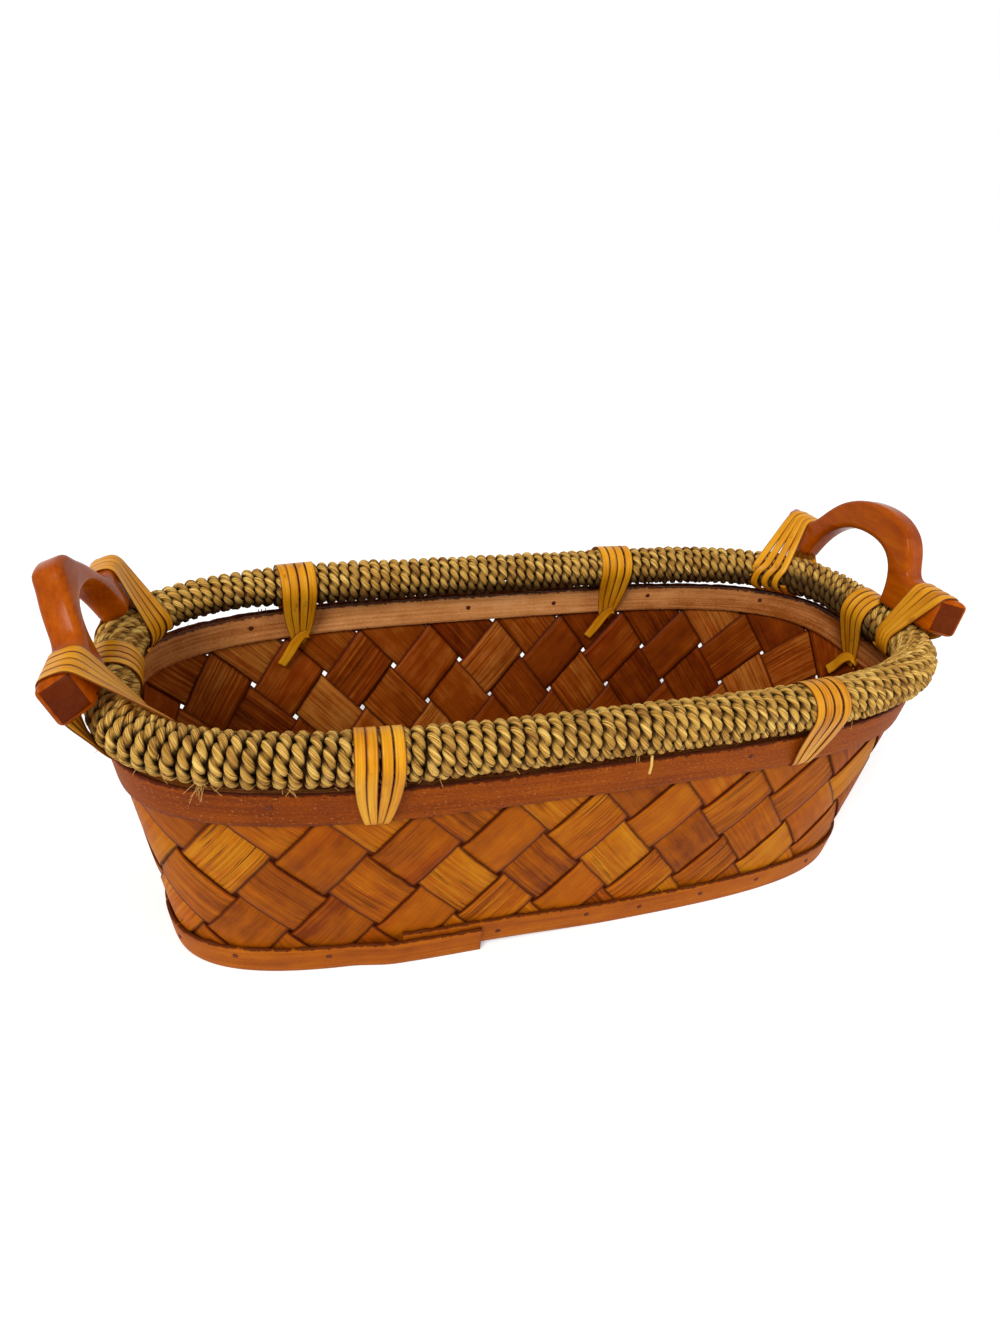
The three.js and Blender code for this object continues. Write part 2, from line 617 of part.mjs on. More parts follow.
// A flat strip along a path. Each stop has its place in a plane (across, up), its place along the rim, its
// width there and how far it leans across per millimetre along; place() turns the three into a point.
function addStrip(name, stops, stopsPerTurn, place) {
  const sections = stops.map((stop, i) => {
    const before = stops[Math.max(i - 1, 0)];
    const after = stops[Math.min(i + 1, stops.length - 1)];
    const arriving = new THREE.Vector2(stop.across - before.across, stop.up - before.up).normalize();
    const leaving = new THREE.Vector2(after.across - stop.across, after.up - stop.up).normalize();
    if (i === 0) arriving.copy(leaving);
    if (i === stops.length - 1) leaving.copy(arriving);
    const along = arriving.clone().add(leaving).normalize();
    const mitre = 1 / Math.max(along.dot(arriving), STRIP_MITRE_LIMIT);
    const face = new THREE.Vector2(along.y, -along.x).multiplyScalar((mitre * CANE_THICKNESS) / 2);
    const corner = (faceSign, widthSign) => {
      const aside = (widthSign * stop.width) / 2;
      return place(stop.across + faceSign * face.x + aside * (stop.lean ?? 0), stop.along + aside,
        stop.up + faceSign * face.y);
    };
    return [corner(1, 1), corner(1, -1), corner(-1, -1), corner(-1, 1)];
  });
  const { points, triangles } = loft(sections);
  addMesh(name, points, triangles, CANE);
  console.log(`${name}: least gap to itself ${leastGap(sections, stopsPerTurn).toFixed(2)} mm`);
}

// Stops that wrap a round of the given radius about (0, centreUp), from one angle on to a later one.
function arcStops(count, centreUp, radius, from, to) {
  const step = (to - from) / count;
  return Array.from({ length: count }, (_, i) => {
    const angle = from + step * (i + 0.5);
    const reach = radius / Math.cos(step / 2);
    return { across: reach * Math.cos(angle), up: centreUp + reach * Math.sin(angle) };
  });
}

// The angle at which a taut line from a point touches a round about the origin, on the side of the line
// that a turn of the given sign leads to.
function tangentAngle(across, up, radius, turn) {
  return Math.atan2(up, across) + turn * Math.acos(Math.min(radius / Math.hypot(across, up), 1));
}

// One strip that goes round the rim roll and down both faces of the rim, pinched together where it passes
// through the weave under the bands.
function addLashing(name, cell) {
  const offsetAt = (z) => offsetFromHoop(cell, z);
  const slotMiddle = offsetAt(SLOT_Z);
  const throughWeave = HALF_WEAVE + CANE_OFFSET + LASHING_SLACK;
  const outerEdge = offsetAt(OUTER_BAND_LOW) + HALF_WEAVE + CLEARANCE + OUTER_BAND_THICKNESS + CANE_OFFSET;
  const innerEdge = offsetAt(INNER_BAND_LOW) - HALF_WEAVE - CLEARANCE - INNER_BAND_THICKNESS - CANE_OFFSET
    - chordSag(cell, INNER_BAND_LOW, INNER_BAND_SAG_CELLS);
  const wrapRadius = CORD_RADIUS + CANE_OFFSET;
  const from = tangentAngle(outerEdge, OUTER_BAND_LOW - HOOP_HEIGHT, wrapRadius, 1);
  const to = tangentAngle(innerEdge, INNER_BAND_LOW - HOOP_HEIGHT, wrapRadius, -1) + 2 * Math.PI;
  const arc = arcStops(LASHING_ARC_STOPS, HOOP_HEIGHT, wrapRadius, from, to);
  const pinched = (turn) => (turn - (LASHING_TURNS - 1) / 2) * CANE_PINCHED_SPACING;
  const fanned = (turn) => (turn - (LASHING_TURNS - 1) / 2) * CANE_SPACING;
  const inside = { across: slotMiddle - throughWeave, up: SLOT_Z, width: CANE_PINCHED_WIDTH };
  const outside = { across: slotMiddle + throughWeave, up: SLOT_Z, width: CANE_PINCHED_WIDTH };
  const tail = (length) => ({
    across: offsetAt(SLOT_Z - length) - throughWeave,
    up: SLOT_Z - length,
    width: CANE_PINCHED_WIDTH,
  });
  const stops = [{ ...tail(LASHING_START_TAIL), along: pinched(0) }];
  for (let turn = 0; turn < LASHING_TURNS; turn++) {
    stops.push({ ...inside, along: pinched(turn) }, { ...outside, along: pinched(turn) });
    stops.push({ across: outerEdge, up: OUTER_BAND_LOW, along: pinched(turn), width: CANE_PINCHED_WIDTH });
    for (const stop of arc) stops.push({ ...stop, along: fanned(turn), width: CANE_WIDTH });
    stops.push({ across: innerEdge, up: INNER_BAND_LOW, along: pinched(turn + 1), width: CANE_PINCHED_WIDTH });
  }
  stops.push({ ...inside, along: pinched(LASHING_TURNS) }, { ...tail(LASHING_TAIL), along: pinched(LASHING_TURNS) });
  addStrip(name, stops, LASHING_ARC_STOPS + 4, (across, along, up) => {
    const there = cell + along / hoopOutline.cellLength;
    const point = hoopPoint(there).addScaledVector(hoopOutline.normal(there), across);
    point.z = up;
    return point;
  });
}

// A handle's own frame. It is tied by hand, so it leans outwards about the rim roll. One axis runs along
// the feet, one out through the bow's thickness, one up its height, and level is the way out along the
// ground. reach is how far the hoop comes that way, so the feet rest on the roll and don't sink into it.
function handleFrame(side) {
  const { inset, slide, turn, lean } = HANDLE_PLACES[side];
  const sign = side === 'right' ? 1 : -1;
  const along = new THREE.Vector3(-sign * Math.sin(turn), Math.cos(turn), 0);
  const level = new THREE.Vector3(sign * Math.cos(turn), Math.sin(turn), 0);
  const out = level.clone().multiplyScalar(Math.cos(lean)).addScaledVector(UP, -Math.sin(lean));
  const up = UP.clone().multiplyScalar(Math.cos(lean)).addScaledVector(level, Math.sin(lean));
  const power = HOOP_SQUARENESS / (HOOP_SQUARENESS - 1);
  const lengthPart = (HOOP_HALF_LENGTH * Math.cos(turn)) ** power;
  const widthPart = (HOOP_HALF_WIDTH * Math.sin(turn)) ** power;
  const reach = (lengthPart + widthPart) ** (1 / power);
  const origin = level.clone().multiplyScalar(reach).addScaledVector(along, slide)
    .addScaledVector(UP, HOOP_HEIGHT).addScaledVector(up, CORD_RADIUS + CLEARANCE).addScaledVector(out, -inset);
  return { sign, along, level, out, up, origin };
}

// The bow's outline: flat feet, a hollow shoulder on each side and a round arch over the opening.
function handleOutline() {
  const outerHalf = HANDLE_HALF_LENGTH - HANDLE_FOOT_TOP_LENGTH;
  const edge = HANDLE_EDGE;
  const end = HANDLE_HALF_LENGTH - edge;
  const footTop = HANDLE_FOOT_HEIGHT - edge;
  const top = HANDLE_ARCH_RISE + HANDLE_ARCH_HEIGHT - edge;
  const shoulder = outerHalf - HANDLE_SHOULDER.pull;
  const shoulderHigh = top + edge - HANDLE_SHOULDER.height;
  const corner = outerHalf - HANDLE_CROWN.corner;
  const crownPull = outerHalf - HANDLE_CROWN.pull;
  const outline = new THREE.Shape();
  outline.moveTo(end, edge);
  outline.lineTo(end, footTop);
  outline.lineTo(outerHalf + HANDLE_SHOULDER.start, footTop);
  outline.bezierCurveTo(shoulder, footTop, shoulder, shoulderHigh, corner, top - HANDLE_CROWN.drop);
  outline.bezierCurveTo(crownPull, top - HANDLE_CROWN.pullDrop, HANDLE_CROWN.top, top, 0, top);
  outline.bezierCurveTo(-HANDLE_CROWN.top, top, -crownPull, top - HANDLE_CROWN.pullDrop,
    -corner, top - HANDLE_CROWN.drop);
  outline.bezierCurveTo(-shoulder, shoulderHigh, -shoulder, footTop, -outerHalf - HANDLE_SHOULDER.start, footTop);
  outline.lineTo(-end, footTop);
  outline.lineTo(-end, edge);
  const opening = HANDLE_ARCH_HALF_OPENING + edge;
  const under = HANDLE_ARCH_RISE + edge;
  const pulled = opening - HANDLE_OPENING.pull;
  const pulledIn = opening * HANDLE_OPENING.crown;
  outline.lineTo(-opening, edge);
  outline.bezierCurveTo(-pulled, under * HANDLE_OPENING.height, -pulledIn, under, 0, under);
  outline.bezierCurveTo(pulledIn, under, pulled, under * HANDLE_OPENING.height, opening, edge);
  outline.closePath();
  return outline;
}

function addHandle(side) {
  const frame = handleFrame(side);
  const geometry = new THREE.ExtrudeGeometry(handleOutline(), {
    depth: HANDLE_THICKNESS - 2 * HANDLE_EDGE,
    bevelThickness: HANDLE_EDGE,
    bevelSize: HANDLE_EDGE,
    bevelSegments: 1,
    curveSegments: 7,
  });
  geometry.translate(0, 0, HANDLE_EDGE - HANDLE_THICKNESS / 2);
  const position = geometry.attributes.position;
  for (let i = 0; i < position.count; i++) {
    const along = position.getX(i);
    if (Math.abs(along) < HANDLE_HALF_LENGTH - 2 * HANDLE_EDGE) continue;
    position.setX(i, along + Math.sign(along) * frame.sign * position.getZ(i) * HANDLE_END_SKEW);
  }
  const mesh = new THREE.Mesh(geometry, new THREE.MeshStandardMaterial(HANDLE_WOOD));
  mesh.name = `handle_${side}`;
  const across = frame.sign > 0 ? frame.out : frame.out.clone().negate();
  mesh.quaternion.setFromRotationMatrix(new THREE.Matrix4().makeBasis(frame.along, frame.up, across));
  mesh.position.copy(frame.origin);
  basket.add(mesh);
}

// Where the rim roll crosses the plane square to a handle at a place along its feet: how far out its
// middle lies there, and how much the slanting cut widens it.
function rollUnderHandle(frame, along) {
  const middle = frame.sign > 0 ? lashingPlaces.end_right : lashingPlaces.end_left;
  let low = middle - CELLS_WIDE / 2;
  let high = middle + CELLS_WIDE / 2;
  const alongAt = (cell) => hoopPoint(cell).sub(frame.origin).dot(frame.along) * frame.sign;
  for (let i = 0; i < HALVINGS; i++) {
    const cell = (low + high) / 2;
    if (alongAt(cell) < along * frame.sign) low = cell;
    else high = cell;
  }
  const slant = Math.abs(hoopOutline.tangent(low).dot(frame.along));
  return { out: hoopPoint(low).sub(frame.origin).dot(frame.level), widening: 1 / slant };
}

// One strip tied round a handle's foot and the rim roll under it. The turns start at the foot's end, lie
// side by side on the foot and draw together round the roll. Each turn lies in a plane square to the foot,
// where a stop has its way out along the ground and its height over the frame's origin.
function addHandleTie(name, side, end) {
  const frame = handleFrame(side);
  const halfFoot = HANDLE_THICKNESS / 2 + CANE_OFFSET;
  const top = HANDLE_FOOT_HEIGHT + CANE_OFFSET;
  const shoulder = top - HANDLE_EDGE;
  const rollUp = HOOP_HEIGHT - frame.origin.z;
  const wrapRadius = CORD_RADIUS + CANE_OFFSET + HANDLE_TIE_SLACK;
  const fromEnd = (turn) => turn - (HANDLE_TIE_TURNS - 1) / 2;
  const onFoot = (turn) => end * (HANDLE_TIE_PLACE - fromEnd(turn) * CANE_SPACING);
  const leaned = (out, height) => {
    const offset = frame.out.clone().multiplyScalar(out).addScaledVector(frame.up, height);
    return { across: offset.dot(frame.level), up: offset.z };
  };
  const stops = [{ ...leaned(-halfFoot, HANDLE_EDGE), along: onFoot(0), width: CANE_WIDTH }];
  for (let turn = 0; turn < HANDLE_TIE_TURNS; turn++) {
    const corners = [[-halfFoot, shoulder], [HANDLE_EDGE - halfFoot, top], [halfFoot - HANDLE_EDGE, top],
      [halfFoot, shoulder], [halfFoot, -CANE_OFFSET]].map(([out, height]) => leaned(out, height));
    for (const corner of corners) stops.push({ ...corner, along: onFoot(turn), width: CANE_WIDTH });
    const along = end * (HANDLE_TIE_ROLL_PLACE - fromEnd(turn) * HANDLE_TIE_ROLL_SPACING);
    const roll = rollUnderHandle(frame, along);
    const leaving = corners.at(-1);
    const arriving = corners[0];
    const lean = rollUnderHandle(frame, along + 0.5).out - rollUnderHandle(frame, along - 0.5).out;
    const from = tangentAngle((leaving.across - roll.out) / roll.widening, leaving.up - rollUp, wrapRadius, -1);
    const to = tangentAngle((arriving.across - roll.out) / roll.widening, arriving.up - rollUp, wrapRadius, 1)
      - 2 * Math.PI;
    for (const stop of arcStops(HANDLE_TIE_ARC_STOPS, rollUp, wrapRadius, from, to)) {
      stops.push({
        across: roll.out + stop.across * roll.widening,
        up: stop.up,
        along,
        width: HANDLE_TIE_ROLL_WIDTH,
        lean,
      });
    }
  }
  stops.push({
    ...leaned(-halfFoot, HANDLE_FOOT_HEIGHT / 2),
    along: onFoot(HANDLE_TIE_TURNS),
    width: CANE_WIDTH,
  });
  addStrip(name, stops, HANDLE_TIE_ARC_STOPS + 5, (across, along, up) => frame.origin.clone()
    .addScaledVector(frame.level, across).addScaledVector(frame.along, along).addScaledVector(UP, up));
}

addWeave();
addBand('bottom_band', {
  side: 1,
  low: 0,
  width: FOOT_BAND_WIDTH,
  thickness: FOOT_BAND_THICKNESS,
  lapCell: baseOutline.cellAtX(FOOT_BAND_LAP_X),
  lapLength: FOOT_BAND_LAP,
  lift: FOOT_BAND_LIFT,
});
addBand('outer_rim_band', {
  side: 1,
  low: OUTER_BAND_LOW,
  width: OUTER_BAND_WIDTH,
  thickness: OUTER_BAND_THICKNESS,
  lapCell: rimOutline.cellAtX(OUTER_BAND_LAP_X, true),
  lapLength: RIM_BAND_LAP,
});
addBand('inner_rim_band', {
  side: -1,
  low: INNER_BAND_LOW,
  width: INNER_BAND_WIDTH,
  thickness: INNER_BAND_THICKNESS,
  lapCell: rimOutline.cellAtX(INNER_BAND_LAP_X),
  lapLength: RIM_BAND_LAP,
});
addHoop();
addCordWinding();
for (const [place, cell] of Object.entries(lashingPlaces)) addLashing(`lashing_${place}`, cell);
for (const side of ['left', 'right']) {
  addHandle(side);
  addHandleTie(`handle_tie_${side}_front`, side, -1);
  addHandleTie(`handle_tie_${side}_back`, side, 1);
}

// The origin is the middle of the outline that the basket covers, on the surface that it stands on.
const bounds = new THREE.Box3().setFromObject(basket, true);
const middle = bounds.getCenter(new THREE.Vector3());
basket.position.set(-middle.x, -middle.y, -bounds.min.z);
basket.updateMatrixWorld(true);

export default basket;
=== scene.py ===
# %% [markdown]
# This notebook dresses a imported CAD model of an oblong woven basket. The CAD model gives every piece its
# place. Here each strip, cord and handle is made again with the curves, grain and small flaws that the
# real ones have, and the CAD pieces stay behind the scenes for physics. Sizes are written in millimetres,
# as a basket maker would give them, and turned into metres when a mesh is made.

# %% Load the frame
import math

import bmesh
import bpy
import numpy as np
from mathutils import Matrix, Vector


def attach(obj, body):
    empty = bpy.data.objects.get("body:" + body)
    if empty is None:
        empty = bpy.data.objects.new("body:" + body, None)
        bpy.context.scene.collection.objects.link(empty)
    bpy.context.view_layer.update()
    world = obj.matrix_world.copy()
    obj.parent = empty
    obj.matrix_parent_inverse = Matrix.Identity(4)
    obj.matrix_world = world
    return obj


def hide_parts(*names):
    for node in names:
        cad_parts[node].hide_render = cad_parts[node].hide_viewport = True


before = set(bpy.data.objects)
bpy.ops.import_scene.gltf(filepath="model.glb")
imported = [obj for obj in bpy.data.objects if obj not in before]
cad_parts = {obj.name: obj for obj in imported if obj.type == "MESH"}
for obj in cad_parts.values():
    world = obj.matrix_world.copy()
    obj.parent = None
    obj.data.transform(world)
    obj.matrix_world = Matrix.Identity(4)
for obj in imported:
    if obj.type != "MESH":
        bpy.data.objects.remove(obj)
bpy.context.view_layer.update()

MM = 0.001
SHIFT = np.array([7.064, -0.553, 0])

# %% [markdown]
# The camera comes first, so that every piece can be judged in the photograph's view from the start. Its
# place, angles and focal length were fitted to the outlines of the rim, the bands and the base. Blender's
# camera looks along its own -Z, so its axes are the picture's right, its up and the way back.

# %% Camera
CAMERA_PLACE = (-151.08, -350.44, 343.63)
CAMERA_YAW = 0.3514
CAMERA_PITCH = 0.5367
CAMERA_ROLL = 0.0970
FOCAL_PIXELS = 843.4
PICTURE_HEIGHT = 1333
SENSOR = 36


def add_camera():
    forward = Vector((math.cos(CAMERA_PITCH) * math.sin(CAMERA_YAW),
                      math.cos(CAMERA_PITCH) * math.cos(CAMERA_YAW), -math.sin(CAMERA_PITCH)))
    right = Vector((math.cos(CAMERA_YAW), -math.sin(CAMERA_YAW), 0))
    up = right.cross(forward)
    tilted_right = right * math.cos(CAMERA_ROLL) + up * math.sin(CAMERA_ROLL)
    tilted_up = up * math.cos(CAMERA_ROLL) - right * math.sin(CAMERA_ROLL)
    data = bpy.data.cameras.new("camera")
    data.sensor_width = SENSOR
    data.lens = SENSOR * FOCAL_PIXELS / PICTURE_HEIGHT
    data.clip_start = 0.01
    camera = bpy.data.objects.new("camera", data)
    turned = Matrix((tilted_right, tilted_up, -forward)).transposed().to_4x4()
    camera.matrix_world = Matrix.Translation(Vector(CAMERA_PLACE + SHIFT) * MM) @ turned
    bpy.context.collection.objects.link(camera)
    bpy.context.scene.camera = camera
    print("camera lens:", round(data.lens, 2), "mm")


add_camera()

# %% [markdown]
# The basket is an oblong with round corners, drawn as a superellipse. Weavers count along it in cells, and
# so does this class: it walks the outline by equal cells, anticlockwise from the front left corner of the
# weave. The walls run in straight lines from the base outline up to the rim outline.

# %% Outlines and walls
CELLS_LONG = 8
CELLS_WIDE = 4
COLUMNS = 2 * (CELLS_LONG + CELLS_WIDE)
BACK_RIGHT = CELLS_LONG + CELLS_WIDE
BACK_LEFT = COLUMNS - CELLS_WIDE
BACK_MIDDLE = (BACK_RIGHT + BACK_LEFT) / 2
END_RIGHT = CELLS_LONG + CELLS_WIDE / 2
END_LEFT = COLUMNS - CELLS_WIDE / 2
FOLD_HEIGHT = 2.5
ROW_HEIGHT = 25.5
WEAVE_TOP = 117
RIM_HEIGHT = 112
HOOP_HEIGHT = 135.6
TOP_ROW = (WEAVE_TOP - FOLD_HEIGHT) / ROW_HEIGHT
NEARBY = 0.02


def unit(arrows):
    """The same arrows, each 1 long."""
    return arrows / np.linalg.norm(arrows, axis=-1, keepdims=True)


class Outline:
    def __init__(self, half_length, half_width, squareness):
        angle = np.linspace(-0.5, 1.5, 1441) * np.pi
        reach = (np.abs(np.cos(angle) / half_length) ** squareness
                 + np.abs(np.sin(angle) / half_width) ** squareness) ** (-1 / squareness)
        self.x = reach * np.cos(angle)
        self.y = reach * np.sin(angle)
        self.lengths = np.concatenate([[0], np.cumsum(np.hypot(np.diff(self.x), np.diff(self.y)))])
        self.cell_length = self.lengths[-1] / COLUMNS

    def at(self, cell):
        walked = np.mod(cell - CELLS_LONG / 2, COLUMNS) * self.cell_length
        return np.stack([np.interp(walked, self.lengths, line) for line in (self.x, self.y)], -1)

    def normal(self, cell):
        along = unit(self.at(cell + NEARBY) - self.at(cell - NEARBY))
        return np.stack([along[..., 1], -along[..., 0]], -1)

    def cell_at_x(self, x, back=False):
        """The cell at a place along the front, or along the back, where x falls as the cells rise."""
        first, sign = (END_RIGHT, -1) if back else (END_LEFT - COLUMNS, 1)
        cells = np.linspace(first, first + COLUMNS / 2, 2401)
        return float(np.interp(sign * x, sign * self.at(cells)[:, 0], cells))


base_outline = Outline(190.7, 69.5, 3.77)
rim_outline = Outline(204.6, 83.2, 3.4)
hoop_outline = Outline(203.5, 83.5, 3.45)


def level(points, height):
    """Flat points, lifted to a height."""
    return np.concatenate([points, np.broadcast_to(height, points.shape[:-1])[..., None]], -1)


def wall_point(cell, height):
    share = ((np.asarray(height) - FOLD_HEIGHT) / (RIM_HEIGHT - FOLD_HEIGHT))[..., None]
    return level(base_outline.at(cell) * (1 - share) + rim_outline.at(cell) * share, height)


def wall_normal(cell, height):
    along = unit(wall_point(cell + NEARBY, height) - wall_point(cell - NEARBY, height))
    return np.stack([along[..., 1], -along[..., 0], 0 * along[..., 0]], -1)


def base_point(x, y):
    """A place on the base, blended from the four edges of its outline."""
    right = (x / CELLS_LONG)[..., None]
    back = (y / CELLS_WIDE)[..., None]
    corners = base_outline.at(np.array([0, CELLS_LONG, BACK_RIGHT, BACK_LEFT]))
    blend = ((1 - back) * base_outline.at(x) + back * base_outline.at(BACK_LEFT - x)
             + (1 - right) * base_outline.at(COLUMNS - y) + right * base_outline.at(CELLS_LONG + y)
             - (1 - right) * (1 - back) * corners[0] - right * (1 - back) * corners[1]
             - right * back * corners[2] - (1 - right) * back * corners[3])
    return level(blend, FOLD_HEIGHT)


print("cell at the base, rim:", round(base_outline.cell_length, 2), round(rim_outline.cell_length, 2))

# %% [markdown]
# Almost everything here is a strip or a cord: flat stock bent along a path. So one helper makes them all.
# It takes Blender's own grid, bends it with a function of two shares (along and across), keeps the flat
# measures as a UV map for the grain, and can close the grid into a tube. Extra numbers for the materials,
# such as how deep a spot lies, go along as attributes.

# %% Bending a flat grid
def smooth_mesh(shape, mesh):
    """Stores a finished bmesh in a mesh, smooth all over."""
    for face in shape.faces:
        face.smooth = True
    shape.to_mesh(mesh)
    shape.free()
    mesh.update()
    return mesh


def bent_grid(name, along_steps, across_steps, bend, tube=False):
    shape = bmesh.new()
    bmesh.ops.create_grid(shape, x_segments=along_steps, y_segments=across_steps, size=1)
    mesh = bpy.data.meshes.new(name)
    shape.to_mesh(mesh)
    shape.free()
    flat = np.empty(len(mesh.vertices) * 3)
    mesh.vertices.foreach_get("co", flat)
    share = (flat.reshape(-1, 3)[:, :2] + 1) / 2
    points, measures, extras = bend(share[:, 0], share[:, 1])
    mesh.vertices.foreach_set("co", ((points + SHIFT) * MM).ravel())
    corners = np.empty(len(mesh.loops), dtype=np.int32)
    mesh.loops.foreach_get("vertex_index", corners)
    mesh.uv_layers.new(name="UVMap").data.foreach_set("uv", (measures[corners] * MM).ravel())
    for key, values in extras.items():
        mesh.attributes.new(key, "FLOAT", "POINT").data.foreach_set("value", values.astype(np.float32))
    shape = bmesh.new()
    shape.from_mesh(mesh)
    if tube:
        bmesh.ops.remove_doubles(shape, verts=shape.verts, dist=1e-7)
        bmesh.ops.holes_fill(shape, edges=[e for e in shape.edges if e.is_boundary], sides=0)
        bmesh.ops.recalc_face_normals(shape, faces=shape.faces)
    return smooth_mesh(shape, mesh)


def add_piece(data, materials, nodes=()):
    """Makes a mesh or a curve a piece of the basket, which may stand in for pieces of the CAD model."""
    piece = bpy.data.objects.new(data.name, data)
    bpy.context.collection.objects.link(piece)
    for material in materials:
        data.materials.append(material)
    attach(piece, "root")
    if nodes:
        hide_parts(*nodes)
    return piece


# %% [markdown]
# Shader maths reads better as plain sums. This small class wraps a node's output, and the operators add
# the Math nodes. Any other node comes from one method that takes its type, settings and inputs.

# %% Shader helpers
class Wire:
    def __init__(self, paint, socket):
        self.paint = paint
        self.socket = socket

    def math(self, operation, *others):
        return self.paint.node("ShaderNodeMath", {"operation": operation}, self, *others)

    def __add__(self, other):
        return self.math("ADD", other)

    __radd__ = __add__

    def __mul__(self, other):
        return self.math("MULTIPLY", other)

    __rmul__ = __mul__

    def __sub__(self, other):
        return self.math("SUBTRACT", other)

    def __rsub__(self, other):
        return self.paint.node("ShaderNodeMath", {"operation": "SUBTRACT"}, other, self)

    def size(self):
        return self.math("ABSOLUTE")

    def step(self, low, high, flip=False):
        ends = (1, 0) if flip else (0, 1)
        return self.paint.node("ShaderNodeMapRange", {"interpolation_type": "SMOOTHSTEP"},
                               self, low, high, *ends)


class Paint:
    """The nodes of a new material, or of a new world."""

    def __init__(self, name, shelf=bpy.data.materials, shader="Principled BSDF"):
        self.owner = shelf.new(name)
        self.owner.use_nodes = True
        self.tree = self.owner.node_tree
        self.shader = self.tree.nodes[shader]

    def node(self, kind, settings, *inputs, output=0, **named):
        made = self.tree.nodes.new(kind)
        for key, value in settings.items():
            setattr(made, key, value)
        for key, value in [*enumerate(inputs), *named.items()]:
            self.plug(made.inputs[key], value)
        return Wire(self, made.outputs[output])

    def plug(self, socket, value):
        if isinstance(value, Wire):
            self.tree.links.new(value.socket, socket)
        else:
            socket.default_value = value

    def attribute(self, name):
        return self.node("ShaderNodeAttribute", {"attribute_name": name}, output="Fac")

    def flat_measures(self):
        return self.node("ShaderNodeUVMap", {"uv_map": "UVMap"})

    def object_place(self):
        return self.node("ShaderNodeTexCoord", {}, output="Object")

    def noise(self, spot, counts, detail=2.0, roughness=0.5):
        """Noise with about so many spots in a metre each way. A low first count makes long streaks."""
        scaled = self.node("ShaderNodeVectorMath", {"operation": "MULTIPLY"}, spot, (*counts, 1.0)[:3])
        return self.node("ShaderNodeTexNoise", {}, Vector=scaled, Scale=1.0, Detail=detail,
                         Roughness=roughness)

    def mix(self, share, first, second, blend="MIX"):
        made = self.tree.nodes.new("ShaderNodeMix")
        made.data_type = "RGBA"
        made.blend_type = blend
        sockets = [s for s in made.inputs if s.enabled]
        for socket, value in zip(sockets, (share, first, second)):
            self.plug(socket, value)
        return Wire(self, next(s for s in made.outputs if s.enabled))

    def ramp(self, share, stops):
        made = self.tree.nodes.new("ShaderNodeValToRGB")
        ramp = made.color_ramp
        while len(ramp.elements) < len(stops):
            ramp.elements.new(0.5)
        for element, (place, colour) in zip(ramp.elements, stops):
            element.position = place
            element.color = colour
        self.plug(made.inputs[0], share)
        return Wire(self, made.outputs[0])

    def bump(self, height, distance, strength):
        return self.node("ShaderNodeBump", {}, Height=height, Distance=distance, Strength=strength)

    def set(self, **values):
        for key, value in values.items():
            self.plug(self.shader.inputs[key.replace("_", " ")], value)
        return self.owner


def rgb(red, green, blue):
    return (red, green, blue, 1.0)


# %% [markdown]
# Chip wood is sliced along the grain, stained and thinly varnished. Its streaks run the length of the
# strip, so the pattern is read from the flat measures and stretched along them. Three sizes of streak, a
# few dark splits and a slow drift of tone keep it from looking printed. It is golden outside, and dark and
# red inside the basket, partly from stain and partly as painted shade. Painted shade also darkens a splint
# where it dives under the next, and the dark lines along its edges are partly stain and partly painted
# shade.

# %% Chip wood
def chip_wood(name, dark, middle, light, split_strength, dive, gloss):
    paint = Paint(name)
    flat = paint.flat_measures()
    broad = paint.noise(flat, (9, 60), 4.0, 0.6)
    streak = paint.noise(flat, (14, 620), 5.0, 0.7)
    fine = paint.noise(flat, (60, 2600), 3.0, 0.6)
    blotch = paint.noise(flat, (90, 110), 4.0, 0.55)
    grainy = paint.attribute("grain")
    tone = ((streak - 0.5) * (grainy * 1.1 + 0.25) + broad * 0.5 + (fine - 0.5) * 0.3 + blotch * 0.34
            + paint.attribute("tint") * 0.36 - 0.11)
    wood = paint.ramp(tone, [(0.24, dark), (0.5, middle), (0.78, light)])
    red = paint.noise(flat, (12, 30), 3.0, 0.55).step(0.48, 0.68)
    wood = paint.mix(red * 0.45, wood, paint.mix(1.0, wood, rgb(1.0, 0.62, 0.5), "MULTIPLY"))
    split = (paint.noise(flat, (6, 420)) - 0.5).size().step(0.0, 0.014, flip=True)
    split = split * paint.noise(flat, (22, 70)).step(0.44, 0.56) * grainy.step(0.2, 0.7)
    # Painted shade: darker where the splint dives under its neighbour.
    shade = (paint.attribute("lift") * dive).step(-0.8, 0.15, flip=True) * 0.7
    # Dark lines along the splint's edges, partly stain and partly painted shade.
    edge = paint.attribute("edge").step(0.9, 0.97) * 0.8
    wood = paint.mix(split * split_strength, wood, rgb(0.05, 0.012, 0.002))
    wood = paint.mix(shade, wood, rgb(0.04, 0.006, 0.001))
    wood = paint.mix(edge, wood, rgb(0.07, 0.008, 0.001))
    relief = streak * 0.55 + fine * 0.35 + broad * 0.3 - split * 1.1
    rough = fine * 0.2 + blotch * 0.2 + gloss
    return paint.set(Base_Color=wood, Roughness=rough, Specular_IOR_Level=0.06,
                     Normal=paint.bump(relief, 0.00035, 0.9))


chip_outside = chip_wood("chip_outside", rgb(0.17, 0.03, 0.001), rgb(0.42, 0.1, 0.0015),
                         rgb(0.6, 0.22, 0.006), split_strength=0.85, dive=1.0, gloss=0.35)
# The inside wood is darker and redder, partly from stain and partly as painted shade.
chip_inside = chip_wood("chip_inside", rgb(0.1, 0.013, 0.001), rgb(0.26, 0.048, 0.002),
                        rgb(0.5, 0.17, 0.025), split_strength=0.6, dive=-1.0, gloss=0.3)
